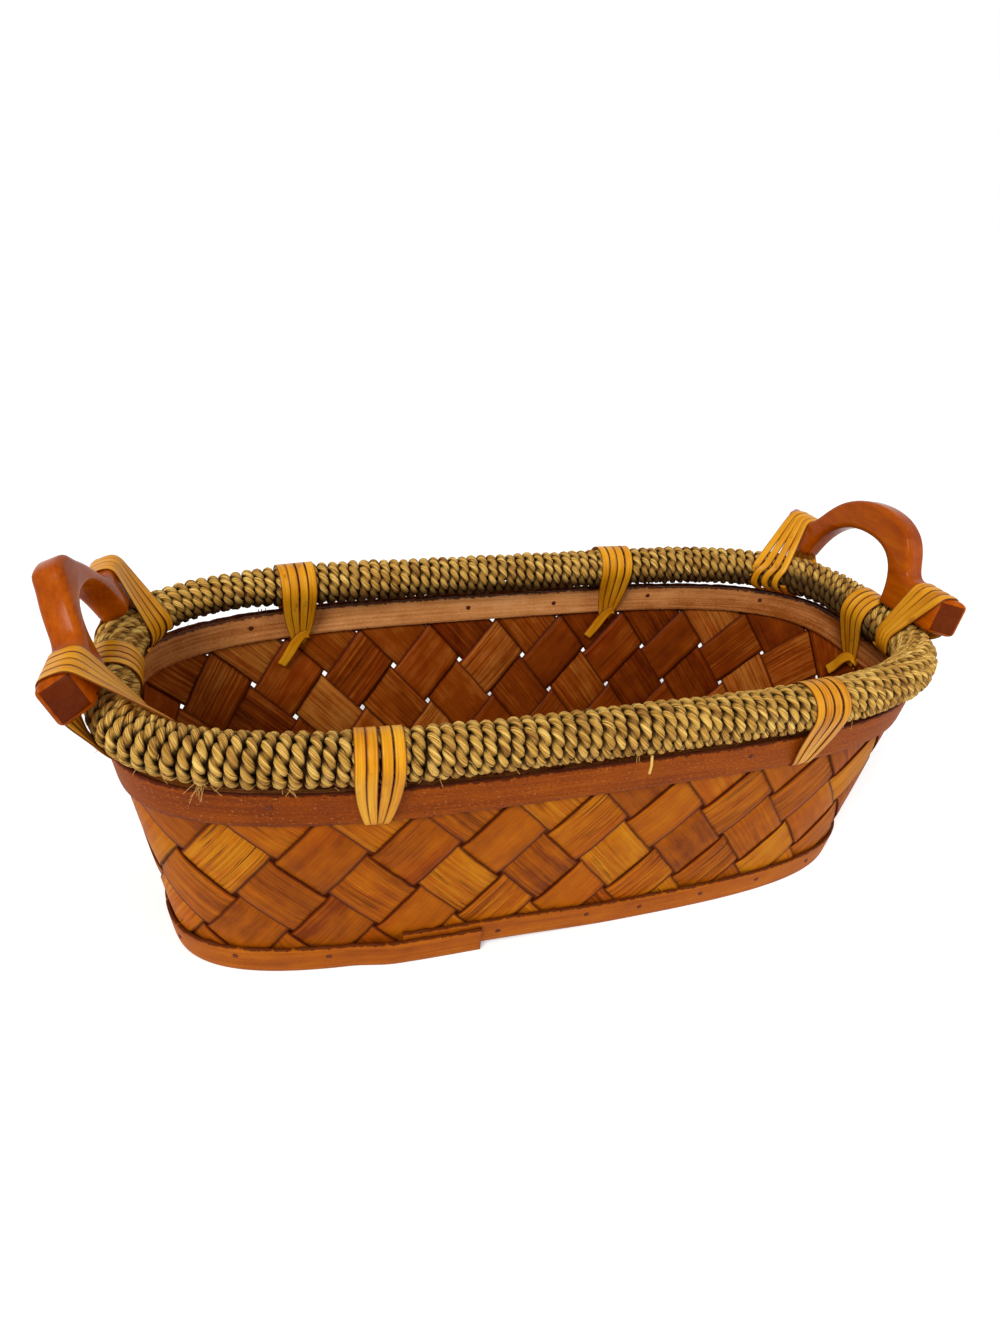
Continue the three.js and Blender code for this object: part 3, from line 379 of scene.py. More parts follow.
# The cut edges are dark maroon, partly stain and partly painted shade.
chip_edge = chip_wood("chip_edge", rgb(0.05, 0.005, 0.001), rgb(0.09, 0.011, 0.002),
                      rgb(0.16, 0.03, 0.004), split_strength=0.3, dive=0.0, gloss=0.5)
print("chip wood:", chip_outside.name, chip_inside.name, chip_edge.name)

# %% [markdown]
# The plaiting works on the bias: every splint comes down one wall, crosses the base cornerwise and climbs
# another wall. On an unfolded sheet that is one straight strip, so each splint is a long grid laid out on
# the lattice of cells, and the lattice is folded into base and walls. A cosine that flips at each crossing
# takes the splint over one neighbour and under the next. A real splint is springy, so the wave is flat on
# the crossings and quick between them.

# %% Plaited splints
SPLINT_THICKNESS = 0.8
SPLINT_PITCH = 30.7
SPLINT_COVER = 0.92
SPLINT_STEP = 3.2
LAYER = 0.8
WAVE_SHARPNESS = 0.4
FOLD_ROUNDING = 1.2
BASKET_MIDDLE = np.array([0, 0, 60])
chance = np.random.default_rng(17)


def edge_of(x, y):
    """The edge of the base at a lattice place: its cell, the way in, the way along and the place."""
    if y == 0:
        return x, (0, 1), (1, 0), (x, y)
    if x == CELLS_LONG:
        return CELLS_LONG + y, (-1, 0), (0, 1), (x, y)
    if y == CELLS_WIDE:
        return BACK_LEFT - x, (0, -1), (-1, 0), (x, y)
    return COLUMNS - y, (1, 0), (0, -1), (x, y)


def folded(x, y, edge):
    """Lattice places, seen from one edge of the base: inside it they lie on the base, beyond it they
    stand on the wall."""
    cell, inward, walk, (edge_x, edge_y) = edge
    from_x, from_y = x - edge_x, y - edge_y
    lateral = from_x * walk[0] + from_y * walk[1]
    rise = -2 * ROW_HEIGHT * (from_x * inward[0] + from_y * inward[1])
    climb = (rise + np.sqrt(rise ** 2 + 4 * FOLD_ROUNDING ** 2)) / 2
    inset = (climb - rise) / ROW_HEIGHT / 2
    on_base = base_point(edge_x + inset * inward[0] + lateral * walk[0],
                         edge_y + inset * inward[1] + lateral * walk[1])
    low = wall_point(cell + lateral, FOLD_HEIGHT + 0 * climb)
    return on_base + wall_point(cell + lateral, FOLD_HEIGHT + climb) - low


def splint_route(start_x, start_y, direction):
    """The edges where a splint comes onto the base and leaves it, and its crossings in between."""
    x, y, crossings = start_x + 0.5, start_y + direction * 0.5, 1
    while x < CELLS_LONG and 0 < y < CELLS_WIDE:
        x, y, crossings = x + 0.5, y + direction * 0.5, crossings + 1
    return edge_of(start_x, start_y), edge_of(x, y), crossings


def splint_mesh(name, start_x, start_y, direction):
    first, last, crossings = splint_route(start_x, start_y, direction)
    first_lean = -np.sign(first[2][0] + direction * first[2][1])
    reach = SPLINT_COVER + chance.uniform(-0.018, 0.018)
    tint, wander, phase = chance.uniform(0, 1), chance.uniform(0.2, 0.5), chance.uniform(0, 50)
    grain = chance.uniform(0, 1)

    def lattice(step, across):
        return (start_x + step / 2 - direction * across / 2,
                start_y + direction * step / 2 + across / 2)

    def place(step, across):
        spot = lattice(step, across)
        early = step < crossings / 2
        return np.where(early[:, None], folded(*spot, first), folded(*spot, last))

    def rows_at(step, across, edge):
        """How many rows up the wall beyond an edge a place lies."""
        x, y = lattice(step, across)
        return -2 * ((x - edge[3][0]) * edge[1][0] + (y - edge[3][1]) * edge[1][1])

    def bend(along, side):
        across = (side - 0.5) * reach
        begin = rows_at(0 * across, across, first) - TOP_ROW
        end = crossings + TOP_ROW - rows_at(crossings + 0 * across, across, last)
        step = begin + along * (end - begin)
        edge = np.abs(side * 2 - 1)
        ragged = 0.004 * np.sin(step * 9 + phase) + 0.003 * np.sin(step * 23 + 2 * phase)
        across = across + ragged * edge + 0.006 * np.sin(step * wander + phase)
        middle = place(step, across)
        tangent = place(step + 0.01, across) - place(step - 0.01, across)
        width = place(step, across + 0.01) - place(step, across - 0.01)
        out = unit(np.cross(tangent, width))
        out *= np.sign(np.sum(out * (middle - BASKET_MIDDLE), axis=1).mean())
        wave = np.cos(np.pi * step)
        wave = wave / np.sqrt(wave ** 2 + WAVE_SHARPNESS ** 2) * math.sqrt(1 + WAVE_SHARPNESS ** 2)
        lift = -first_lean * wave
        points = middle + out * (lift * LAYER)[:, None]
        measures = np.stack([step * SPLINT_PITCH + phase * 97, across * SPLINT_PITCH + phase * 31], 1)
        return points, measures, {"lift": lift, "edge": edge, "tint": 0 * lift + tint,
                                  "grain": 0 * lift + grain}

    length = (crossings + 2 * TOP_ROW) * SPLINT_PITCH
    return bent_grid(name, round(length / SPLINT_STEP), 8, bend)


def faces_in(mesh):
    """Whether a splint's faces look towards the basket's middle."""
    size = len(mesh.polygons) * 3
    normals, centres = np.empty(size), np.empty(size)
    mesh.polygons.foreach_get("normal", normals)
    mesh.polygons.foreach_get("center", centres)
    return np.sum(normals.reshape(-1, 3) * (centres.reshape(-1, 3) - BASKET_MIDDLE * MM)) < 0


def add_weave():
    starts = [(max(0, i - CELLS_WIDE), min(i, CELLS_WIDE), -1) for i in np.arange(0.5, BACK_RIGHT)]
    starts += [(max(0, i), max(0, -i), 1) for i in np.arange(0.5 - CELLS_WIDE, CELLS_LONG)]
    for count, start in enumerate(starts, 1):
        node = f"splint_{count:02d}"
        mesh = splint_mesh(f"{node}_plaited", *start)
        skins = (chip_inside, chip_outside) if faces_in(mesh) else (chip_outside, chip_inside)
        piece = add_piece(mesh, (*skins, chip_edge), [node])
        shell = piece.modifiers.new("thickness", "SOLIDIFY")
        shell.thickness = SPLINT_THICKNESS * MM
        shell.offset = 0
        shell.material_offset = 1
        shell.material_offset_rim = 2
    print("splints:", len(starts))


add_weave()

# %% [markdown]
# The bands are of the same wood, but thicker, so they show coarser flecks, and their edges took up more
# stain. The "pale" attribute lightens a band: on the inner band it is a painted sheen across the back, and
# on the outer band it leaves the front left darker. One function makes the wood of all three bands, and of
# the hoop.

# %% Band wood
def band_wood(name, dark, middle, light, gloss, speckle=0.0):
    paint = Paint(name)
    flat = paint.flat_measures()
    broad = paint.noise(flat, (6, 80), 4.0, 0.6)
    streak = paint.noise(flat, (14, 700), 5.0, 0.65)
    fleck = paint.noise(flat, (620, 900), 3.0, 0.65)
    blotch = paint.noise(flat, (45, 60), 5.0, 0.6)
    pale = paint.attribute("pale")
    tone = streak * 0.45 + broad * 0.4 + fleck * 0.25 + blotch * 0.35 + pale * 0.13 - 0.37
    wood = paint.ramp(tone, [(0.28, dark), (0.5, middle), (0.75, light)])
    wood = paint.mix(fleck.step(0.6, 0.7) * speckle, wood, rgb(0.55, 0.24, 0.07))
    wood = paint.mix(fleck.step(0.34, 0.42, flip=True) * speckle, wood, rgb(0.13, 0.02, 0.002))
    ragged = paint.noise(flat, (330, 60), 3.0, 0.7)
    edge = (paint.attribute("edge") + ragged * 0.5 - 0.25).step(0.84, 0.93) * 0.85
    wood = paint.mix(edge, wood, rgb(0.05, 0.006, 0.001))
    relief = streak * 0.5 + fleck * 0.5 + blotch * 0.3
    rough = fleck * 0.25 + blotch * 0.2 + gloss
    return paint.set(Base_Color=wood, Roughness=rough, Specular_IOR_Level=0.08,
                     Normal=paint.bump(relief, 0.0003, 0.8))


foot_wood = band_wood("foot_wood", rgb(0.2, 0.035, 0.001), rgb(0.41, 0.097, 0.002),
                      rgb(0.58, 0.19, 0.01), gloss=0.35)
rim_wood = band_wood("rim_wood", rgb(0.16, 0.025, 0.001), rgb(0.3, 0.058, 0.001),
                     rgb(0.44, 0.11, 0.004), gloss=0.35, speckle=0.7)
# The inner band's light colours are partly its own wood and partly painted sheen.
inner_wood = band_wood("inner_wood", rgb(0.3, 0.075, 0.01), rgb(0.66, 0.27, 0.08),
                       rgb(0.86, 0.5, 0.22), gloss=0.25)
hoop_wood = band_wood("hoop_wood", rgb(0.12, 0.05, 0.015), rgb(0.2, 0.09, 0.03),
                      rgb(0.3, 0.15, 0.05), gloss=0.5)
print("band wood:", foot_wood.name, rim_wood.name, inner_wood.name, hoop_wood.name)

# %% [markdown]
# The bands clamp the weave at the foot and the rim, and are nailed where their ends lap. Each is a tube
# whose section is a rounded rectangle, bent round the wall. Its upper edge was torn rather than cut, so
# it wanders a little, and the last stretch climbs over the first.

# %% Bands
FOOT_THICKNESS = 2
OUTER_THICKNESS = 1.9
INNER_THICKNESS = 1.6
OUTER_LOW = 102.2
INNER_LOW = 105.6
BAND_AIR = 0.15
BAND_INSIDE = LAYER + SPLINT_THICKNESS / 2 + BAND_AIR
LAP_AIR = 0.3
BAND_CELL = 46


def rounded_section(side, width, thickness, squareness=7):
    """The place on a rounded rectangle that a share of the way round it leads to."""
    angle = 2 * np.pi * side
    reach = (np.abs(np.cos(angle)) ** squareness + np.abs(np.sin(angle)) ** squareness) ** (-1 / squareness)
    return reach * np.cos(angle) * width / 2, reach * np.sin(angle) * thickness / 2


def smoothstep(value, low, high):
    share = np.clip((value - low) / (high - low), 0, 1)
    return share * share * (3 - 2 * share)


def hump(cell, middle, reach, power=2):
    """1 at a cell, and nearly 0 beyond its reach."""
    return np.exp(-((cell - middle) / reach) ** power)


# Painted sheen: the inner band is lighter across the middle of its back.
def back_sheen(cell):
    return hump(cell, BACK_MIDDLE, 3.4)


def dark_front_left(cell):
    return 1 - hump(np.mod(cell + COLUMNS / 2, COLUMNS), COLUMNS / 2, 1.7)


def add_band(name, node, facing, low, width, thickness, lap_cell, lap_length, wood, pale=np.ones_like,
             lift=0, torn=0.25):
    lap = lap_length / rim_outline.cell_length
    cells = COLUMNS + lap
    start = lap_cell - lap

    def bend(along, side):
        walked = cells * along
        cell = start + walked
        up, out = rounded_section(side, width, thickness)
        over = smoothstep(walked, COLUMNS - 0.7 * lap, COLUMNS - 0.1 * lap)
        raised = low + lift * (1 - smoothstep(walked, lap, 3 * lap))
        spot = walked * BAND_CELL
        tear = (np.sin(spot * 0.21) * 0.5 + np.sin(spot * 0.63 + 1) * 0.5
                + np.sin(spot * 1.7 + 2) * 0.4 + np.sin(spot * 3.1 + np.sin(spot * 0.4)) * 0.35)
        up = up + torn * tear * (up > 0)
        height = raised + width / 2 + up
        offset = BAND_INSIDE + thickness / 2 + over * (thickness + LAP_AIR) + out
        points = wall_point(cell, height) + wall_normal(cell, height) * (facing * offset)[:, None]
        edge = np.abs(up) / (width / 2) - 0.1 * (up <= 0)
        measures = np.stack([spot + low * 40, up + low * 7], 1)
        return points, measures, {"edge": edge, "pale": pale(cell)}

    add_piece(bent_grid(name, round(cells * 16), 28, bend, tube=True), [wood], [node])
    print(name, "laps at cell", round(lap_cell, 2))


add_band("foot_band", "bottom_band", facing=1, low=0, width=17, thickness=FOOT_THICKNESS,
         lap_cell=base_outline.cell_at_x(-46), lap_length=42, wood=foot_wood, lift=3.5, torn=0.5)
add_band("rim_band_outside", "outer_rim_band", facing=1, low=OUTER_LOW, width=18.6,
         thickness=OUTER_THICKNESS, lap_cell=rim_outline.cell_at_x(-40, back=True), lap_length=38,
         wood=rim_wood, pale=dark_front_left)
add_band("rim_band_inside", "inner_rim_band", facing=-1, low=INNER_LOW, width=15.3,
         thickness=INNER_THICKNESS, lap_cell=rim_outline.cell_at_x(20), lap_length=38,
         wood=inner_wood, pale=back_sheen)

# %% [markdown]
# Seagrass dries to a greenish straw yellow with brown stretches. Painted shade darkens it between the plies
# and on the inner underside of the roll. The cord's mesh says how deep and how far under each spot lies,
# and the colour darkens with both.

# %% Seagrass
def seagrass():
    paint = Paint("seagrass_fibre")
    flat = paint.flat_measures()
    strand = paint.noise(flat, (70, 850), 4.0, 0.7)
    hue = paint.noise(flat, (60, 160), 3.0, 0.6)
    drift = paint.noise(flat, (5, 5), 3.0, 0.6)
    tone = strand * 1.25 + hue * 0.5 + drift * 0.2 - 0.45
    grass = paint.ramp(tone, [(0.34, rgb(0.12, 0.04, 0.004)), (0.45, rgb(0.4, 0.19, 0.028)),
                              (0.55, rgb(0.67, 0.36, 0.06)), (0.68, rgb(0.94, 0.64, 0.18))])
    brown = paint.noise(flat, (14, 40), 3.0, 0.6).step(0.52, 0.68)
    grass = paint.mix(brown * 0.6, grass, rgb(0.26, 0.095, 0.02))
    # Painted shade: darker between the plies and on the roll's inner underside.
    grass = paint.mix(paint.attribute("deep").step(0.2, 0.62) * 0.95, grass, rgb(0.028, 0.009, 0.002))
    grass = paint.mix(paint.attribute("under").step(0.3, 0.95) * 0.88, grass, rgb(0.03, 0.009, 0.002))
    return paint.set(Base_Color=grass, Roughness=strand * 0.3 + 0.45, Specular_IOR_Level=0.15,
                     Normal=paint.bump(strand + hue * 0.4, 0.0005, 1.0))


grass_wood = seagrass()
print("seagrass:", grass_wood.name)

# %% [markdown]
# The rim roll is a hoop wound with a two-ply cord, turn against turn. Each ply is its own tube: it spirals
# round the cord's middle line while the cord spirals round the hoop. The cord's pitch and tightness vary a
# little from turn to turn, as a hand-wound one's do. At the back the roll sags onto the bands, and it is
# slimmer at one place, where it stands off them.

# %% Cord
CORD_TURNS = 174
CORD_CENTRE = 8.75
CORD_THICKNESS = 5.2
PLY_OFFSET = 1.35
PLY_DEPTH = 1.5
PLY_BREADTH = 2.15
PLY_STEP = 1.15
LAY_LENGTH = 10.8
BACK_SAG = 1.5
SAG_REACH = 2.4
SLIM_CELL = 19.8
SLIM_REACH = 0.75
SLIM_SHARE = 0.17
SLIM_RISE = 1.3
UP = np.array([0, 0, 1])


def hoop_point(cell):
    return level(hoop_outline.at(cell), HOOP_HEIGHT)


def hoop_out(cell):
    return level(hoop_outline.normal(cell), 0)


def turn_table(seed, spread):
    """One smooth wobble for every turn of the winding."""
    values = np.random.default_rng(seed).normal(0, spread, CORD_TURNS + 3)
    return lambda turn: np.interp(turn, np.arange(CORD_TURNS + 3), values)


slip = turn_table(3, 0.035)
swell = turn_table(5, 0.22)
fatness = turn_table(8, 0.035)


def cord_place(turn):
    """The cord's middle line after some turns, and the way out from the hoop there."""
    cell = END_RIGHT + (turn + slip(turn)) * COLUMNS / (CORD_TURNS + 0.4)
    angle = 2 * np.pi * turn
    out = hoop_out(cell) * np.cos(angle)[..., None] + UP * np.sin(angle)[..., None]
    sag = BACK_SAG * hump(cell, BACK_MIDDLE, SAG_REACH, 4)
    slim = hump(cell, SLIM_CELL, SLIM_REACH, 4)
    radius = (CORD_CENTRE + swell(turn)) * (1 - SLIM_SHARE * slim)
    return hoop_point(cell) + UP * (SLIM_RISE * slim - sag)[..., None] + out * radius[..., None], out


def add_ply(name, phase, nodes=()):
    turn_length = 2 * np.pi * CORD_CENTRE
    twists = turn_length / LAY_LENGTH

    def bend(along, side):
        turn = along * CORD_TURNS
        middle, out = cord_place(turn)
        tangent = unit(cord_place(turn + 0.002)[0] - cord_place(turn - 0.002)[0])
        beside = np.cross(tangent, out)
        spin = phase - 2 * np.pi * turn * twists
        fat = 1 + fatness(turn)
        apart = out * np.cos(spin)[:, None] + beside * np.sin(spin)[:, None]
        sideways = beside * np.cos(spin)[:, None] - out * np.sin(spin)[:, None]
        round_angle = 2 * np.pi * side
        reach = fat * (PLY_OFFSET + PLY_DEPTH * np.cos(round_angle))
        breadth = fat * PLY_BREADTH * np.sin(round_angle)
        points = middle + apart * reach[:, None] + sideways * breadth[:, None]
        height = reach * np.cos(spin) - breadth * np.sin(spin)
        deep = 0.5 - height / CORD_THICKNESS + 0.3 * np.abs(np.sin(round_angle)) ** 3
        measures = np.stack([turn * turn_length + phase * 900, round_angle * 2 + turn * 7], 1)
        # The roll's inner underside gets painted shade, and a patch at the right end, towards the back, is
        # darkened as well.
        right_end_patch = smoothstep(middle[:, 0], 125, 185) * smoothstep(middle[:, 1], -30, 10)
        inner = -0.55 * np.cos(2 * np.pi * turn) - 0.84 * np.sin(2 * np.pi * turn)
        return points, measures, {"deep": np.clip(deep, 0, 1), "under": np.clip(inner + 0.6 * right_end_patch, 0, 1)}

    steps = round(CORD_TURNS * turn_length / PLY_STEP)
    add_piece(bent_grid(name, steps, 9, bend, tube=True), [grass_wood], nodes)
    print(name, "length in metres:", round(CORD_TURNS * turn_length * MM, 2))


add_ply("rim_cord_ply_one", 0, ["rim_rope"])
add_ply("rim_cord_ply_two", math.pi)
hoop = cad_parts["rim_core"]
hoop.data.materials.clear()
hoop.data.materials.append(hoop_wood)

# %% [markdown]
# Split cane is the outer skin of rattan: golden, glossy and finely lined, darker along its edges, with a
# brown mark where a leaf grew.

# %% Cane
def cane_skin():
    paint = Paint("split_cane")
    flat = paint.flat_measures()
    streak = paint.noise(flat, (12, 1500), 4.0, 0.6)
    broad = paint.noise(flat, (30, 120), 4.0, 0.6)
    leaf_mark = paint.noise(flat, (120, 200)).step(0.64, 0.78)
    tone = streak * 0.6 + broad * 0.55 - 0.1
    skin = paint.ramp(tone, [(0.3, rgb(0.44, 0.12, 0.002)), (0.5, rgb(0.76, 0.31, 0.006)),
                             (0.75, rgb(0.96, 0.56, 0.05))])
    skin = paint.mix(leaf_mark * 0.6, skin, rgb(0.3, 0.07, 0.004))
    skin = paint.mix(paint.attribute("edge").step(0.7, 0.96) * 0.92, skin, rgb(0.13, 0.02, 0.001))
    return paint.set(Base_Color=skin, Roughness=streak * 0.2 + 0.28, Specular_IOR_Level=0.16,
                     Normal=paint.bump(streak * 0.6 + broad * 0.4, 0.0002, 0.6))


cane = cane_skin()
print("cane:", cane.name)

# %% [markdown]
# All cane ties are made by one helper. A strip follows a list of stops, which are smoothed as taut cane
# would be, and its section is flat inside and slightly round outside.

# %% Cane strips
CANE_THICKNESS = 1.0
CANE_WIDTH = 4.7
CANE_CROWN = 0.28
CANE_STEP = 1.3
CORD_OUTSIDE = 11.6


def smooth_columns(values, sigma):
    reach = int(3 * sigma) + 1
    kernel = np.exp(-0.5 * (np.arange(-reach, reach + 1) / sigma) ** 2)
    kernel /= kernel.sum()
    padded = np.pad(values, ((reach, reach), (0, 0)), mode="edge")
    return np.stack([np.convolve(column, kernel, mode="valid") for column in padded.T], 1)


def add_strip(name, stops, place, nodes=()):
    """Stops are rows of across, up, along, width and lean. place() takes across, along and up, and the
    strip's width lies along the second of them. Where it stands upright, up and along change places."""
    stops = np.array(stops, dtype=float)
    lengths = np.concatenate([[0], np.cumsum(np.linalg.norm(np.diff(stops[:, :3], axis=0), axis=1))])
    length = lengths[-1]
    count = int(length / CANE_STEP)
    spots = np.linspace(0, length, count + 1)
    dense = np.stack([np.interp(spots, lengths, column) for column in stops.T], 1)
    across, up, along = smooth_columns(dense[:, :3], 1.6).T
    widths, lean = smooth_columns(dense[:, 3:], 3).T
    centre = place(across, along, up)
    tangent = unit(np.gradient(centre, axis=0))
    wide = place(across + lean * 0.5, along + 0.5, up) - centre
    wide = unit(wide - tangent * np.sum(wide * tangent, axis=1, keepdims=True))
    out = np.cross(tangent, wide)
    seed = sum(map(ord, name))

    def bend(walked, side):
        def pick(rows):
            return np.stack([np.interp(walked * count, np.arange(count + 1), c) for c in rows.T], 1)

        over, thick = rounded_section(side, 1, CANE_THICKNESS, 3.2)
        width = over * pick(widths[:, None])[:, 0]
        thick = thick + CANE_CROWN * (1 - (2 * over) ** 2) - CANE_CROWN / 2
        points = pick(centre) + pick(wide) * width[:, None] + pick(out) * thick[:, None]
        measures = np.stack([walked * length + seed * 13, width + seed], 1)
        return points, measures, {"edge": np.abs(2 * over)}

    add_piece(bent_grid(name, count, 12, bend, tube=True), [cane], nodes)
    print(name, "length in mm:", round(length))


def touch_angle(across, up, radius, turn):
    """Where a taut cane from a place beside a round roll touches it."""
    return math.atan2(up, across) + turn * math.acos(min(radius / math.hypot(across, up), 1))


print("cane strips are", CANE_WIDTH, "by", CANE_THICKNESS, "mm")

# %% [markdown]
# Each lashing is one long cane. Its four turns lie side by side over the rim roll, draw together down both
# faces of the rim and pass through the weave below the bands. Its end is folded over them on the inside,
# and hangs down as a short tail, whose width stands upright.

# %% Lashings
LASHING_TURNS = 4
SLOT_HEIGHT = 99.8
SLOT_SPACING, SLOT_WIDTH = 1.9, 2.0
CORNER_SPACING, CORNER_WIDTH = 2.6, 3.0
OUTER_SPACING, INNER_SPACING = 5.15, 5.0
TAUTNESS = 1.7
CANE_AIR = 0.1


def offset_from_hoop(cell, height):
    return float((wall_point(cell, height) - hoop_point(cell)) @ hoop_out(cell))


def add_lashing(place_name, cell, seed):
    rolls = np.random.default_rng(seed)
    radius = CORD_OUTSIDE + CANE_THICKNESS / 2 - CANE_AIR
    beside = BAND_INSIDE + CANE_THICKNESS / 2 + CANE_AIR
    outside = offset_from_hoop(cell, OUTER_LOW) + beside + OUTER_THICKNESS
    inside = offset_from_hoop(cell, INNER_LOW) - beside - INNER_THICKNESS
    slot = offset_from_hoop(cell, SLOT_HEIGHT)
    start = touch_angle(outside, OUTER_LOW - HOOP_HEIGHT, radius, 1)
    end = touch_angle(inside, INNER_LOW - HOOP_HEIGHT, radius, -1) + 2 * math.pi
    arc = [(radius * math.cos(angle), HOOP_HEIGHT + radius * math.sin(angle))
           for angle in np.linspace(start, end, 14)]
    (arc_out, arc_out_up), (arc_in, arc_in_up) = arc[0], arc[-1]
    middle = (LASHING_TURNS - 1) / 2
    stops = [(slot, SLOT_HEIGHT, -middle * SLOT_SPACING, SLOT_WIDTH, 0)]

    def draw_together(across, up, corner, fan, pull):
        width = CORNER_WIDTH + (CANE_WIDTH - CORNER_WIDTH) * (1 - pull)
        stops.append((across, up, corner * pull + fan * (1 - pull), width, 0))

    for turn in range(LASHING_TURNS):
        step = turn - middle
        corner = step * CORNER_SPACING
        fan = step * OUTER_SPACING + rolls.uniform(-0.4, 0.4)
        back_fan = step * INNER_SPACING + 0.8 + rolls.uniform(-0.3, 0.3)
        lift = 0.3 * (turn % 2)
        for way in (-2, 2):
            stops.append((slot + way, SLOT_HEIGHT, step * SLOT_SPACING, SLOT_WIDTH, 0))
        for share in (0, 0.3, 0.6):
            draw_together(outside + lift + (arc_out - outside) * share,
                          OUTER_LOW + (arc_out_up - OUTER_LOW) * share,
                          corner, fan, (1 - share) ** TAUTNESS)
        for share, (across, up) in zip(np.linspace(0, 1, len(arc)), arc):
            stops.append((across, up, fan * (1 - share) + back_fan * share, CANE_WIDTH, 0))
        for share in (0.4, 0.7, 1):
            draw_together(arc_in + (inside - lift - arc_in) * share,
                          arc_in_up + (INNER_LOW - arc_in_up) * share,
                          corner, back_fan, share ** TAUTNESS)
    for way in (-2, 0):
        stops.append((slot + way, SLOT_HEIGHT, middle * SLOT_SPACING, SLOT_WIDTH, 0))

    def place(across, along, up):
        there = cell + along / hoop_outline.cell_length
        point = hoop_point(there) + hoop_out(there) * across[:, None]
        point[:, 2] = up
        return point

    def place_upright(across, up, along):
        return place(across, along, up)

    add_strip(f"lashing_{place_name}_cane", stops, place, [f"lashing_{place_name}"])
    tail = [(slot, -4, SLOT_HEIGHT + 2, 2.6, 0), (inside - 0.8, -5.5, INNER_LOW + 2, 4.5, 0),
            (inside - 2.1, -1, INNER_LOW + 2.6, 6.4, 0), (inside - 2.4, 3.2, INNER_LOW - 1.6, 6.6, 0),
            (slot - 4.8, 7.8, SLOT_HEIGHT - 4, 6.6, 0), (slot - 5.1, 12.5, SLOT_HEIGHT - 10, 6.2, 0)]
    add_strip(f"lashing_{place_name}_tail", tail, place_upright)


LASHING_CELLS = {
    "front_left": rim_outline.cell_at_x(-101),
    "front_right": rim_outline.cell_at_x(109),
    "back_left": rim_outline.cell_at_x(-117, back=True),
    "back_right": rim_outline.cell_at_x(74, back=True),
    "end_left": END_LEFT,
    "end_right": END_RIGHT,
}
for order, (place_name, cell) in enumerate(LASHING_CELLS.items()):
    add_lashing(place_name, cell, seed=order)

# %% [markdown]
# The handles are bent bows of varnished wood: a flat foot at each end, a hollow shoulder and a round arch.
# The side outline is drawn as one face, pushed to its thickness and bevelled all round, and the two ends
# are skewed, as the real ones are sawn at an angle.

# %% Handles
HANDLE_SIZES = {
    "left": dict(inset=4, slide=-14, turn=5, lean=23, half_length=56, thickness=14, foot=19.5, top=43.5,
                 rise=27, half_opening=25, arch_shift=0, arch_skew=0),
    "right": dict(inset=3, slide=8.5, turn=3, lean=7, half_length=68.5, thickness=13.2, foot=20, top=48,
                  rise=30.5, half_opening=33, arch_shift=5.5, arch_skew=-9),
}
FOOT_LIFT = 11.5
HANDLE_EDGE = 3.2
END_SKEW = 0.75
END_LENGTH = 8


def handle_varnish(name, depth):
    paint = Paint(name)
    spot = paint.object_place()
    grain = paint.noise(spot, (500, 40, 340), 4.0, 0.6)
    broad = paint.noise(spot, (60, 14, 60), 4.0, 0.55)
    fleck = paint.noise(spot, (1400, 260, 1400))
    tone = grain * 0.35 + broad * 0.6 + fleck * 0.15 - 0.05
    wood = paint.ramp(tone, [(0.3, rgb(0.22, 0.03, 0.0005)), (0.52, rgb(0.4, 0.07, 0.0005)),
                             (0.75, rgb(0.56, 0.13, 0.001))])
    knock = paint.noise(spot, (300, 300, 300)).step(0.7, 0.78)
    wood = paint.mix(knock * 0.5, wood, rgb(0.12, 0.015, 0.001))
    wood = paint.mix(depth, wood, rgb(0.04, 0.001, 0.0002))
    return paint.set(Base_Color=wood, Roughness=fleck * 0.12 + 0.13, Specular_IOR_Level=0.07,
                     Normal=paint.bump(grain * 0.4 + broad * 0.6, 0.0003, 0.35))


varnish = handle_varnish("handle_varnish", 0)
end_grain = handle_varnish("handle_end_grain", 0.72)


def bezier(a, b, c, d, count):
    share = np.linspace(0, 1, count, endpoint=False)[:, None]
    a, b, c, d = map(np.array, (a, b, c, d))
    return list((1 - share) ** 3 * a + 3 * (1 - share) ** 2 * share * b + 3 * (1 - share) * share ** 2 * c
                + share ** 3 * d)


def handle_outline(size):
    """Half of the bow from the middle of its top round to the middle of its underside, then mirrored."""
    top, foot, crown = size["top"], size["foot"], size["rise"]
    reach, opening = size["half_length"], size["half_opening"]
    corner, shoulder = reach - 42, reach - 23
    half = bezier((0, top), (9, top), (corner - 8, top - 2), (corner, top - 8), 10)
    half += bezier((corner, top - 8), (corner + 11, top - 17), (shoulder - 8, foot), (shoulder, foot), 14)
    half += [(reach - 16, foot), (reach - END_LENGTH, foot), (reach, foot)]
    half += [(reach, 0), (reach - END_LENGTH, 0), (reach - 18, 0), (reach - 27, 0)]
    half += bezier((opening, 0), (opening - 3, crown * 0.5), (opening * 0.71, crown), (0, crown), 14)
    points = [tuple(p) for p in half] + [(0, crown)]
    mirrored = [(-x, y) for x, y in reversed(points[1:-1])]
    return points + mirrored


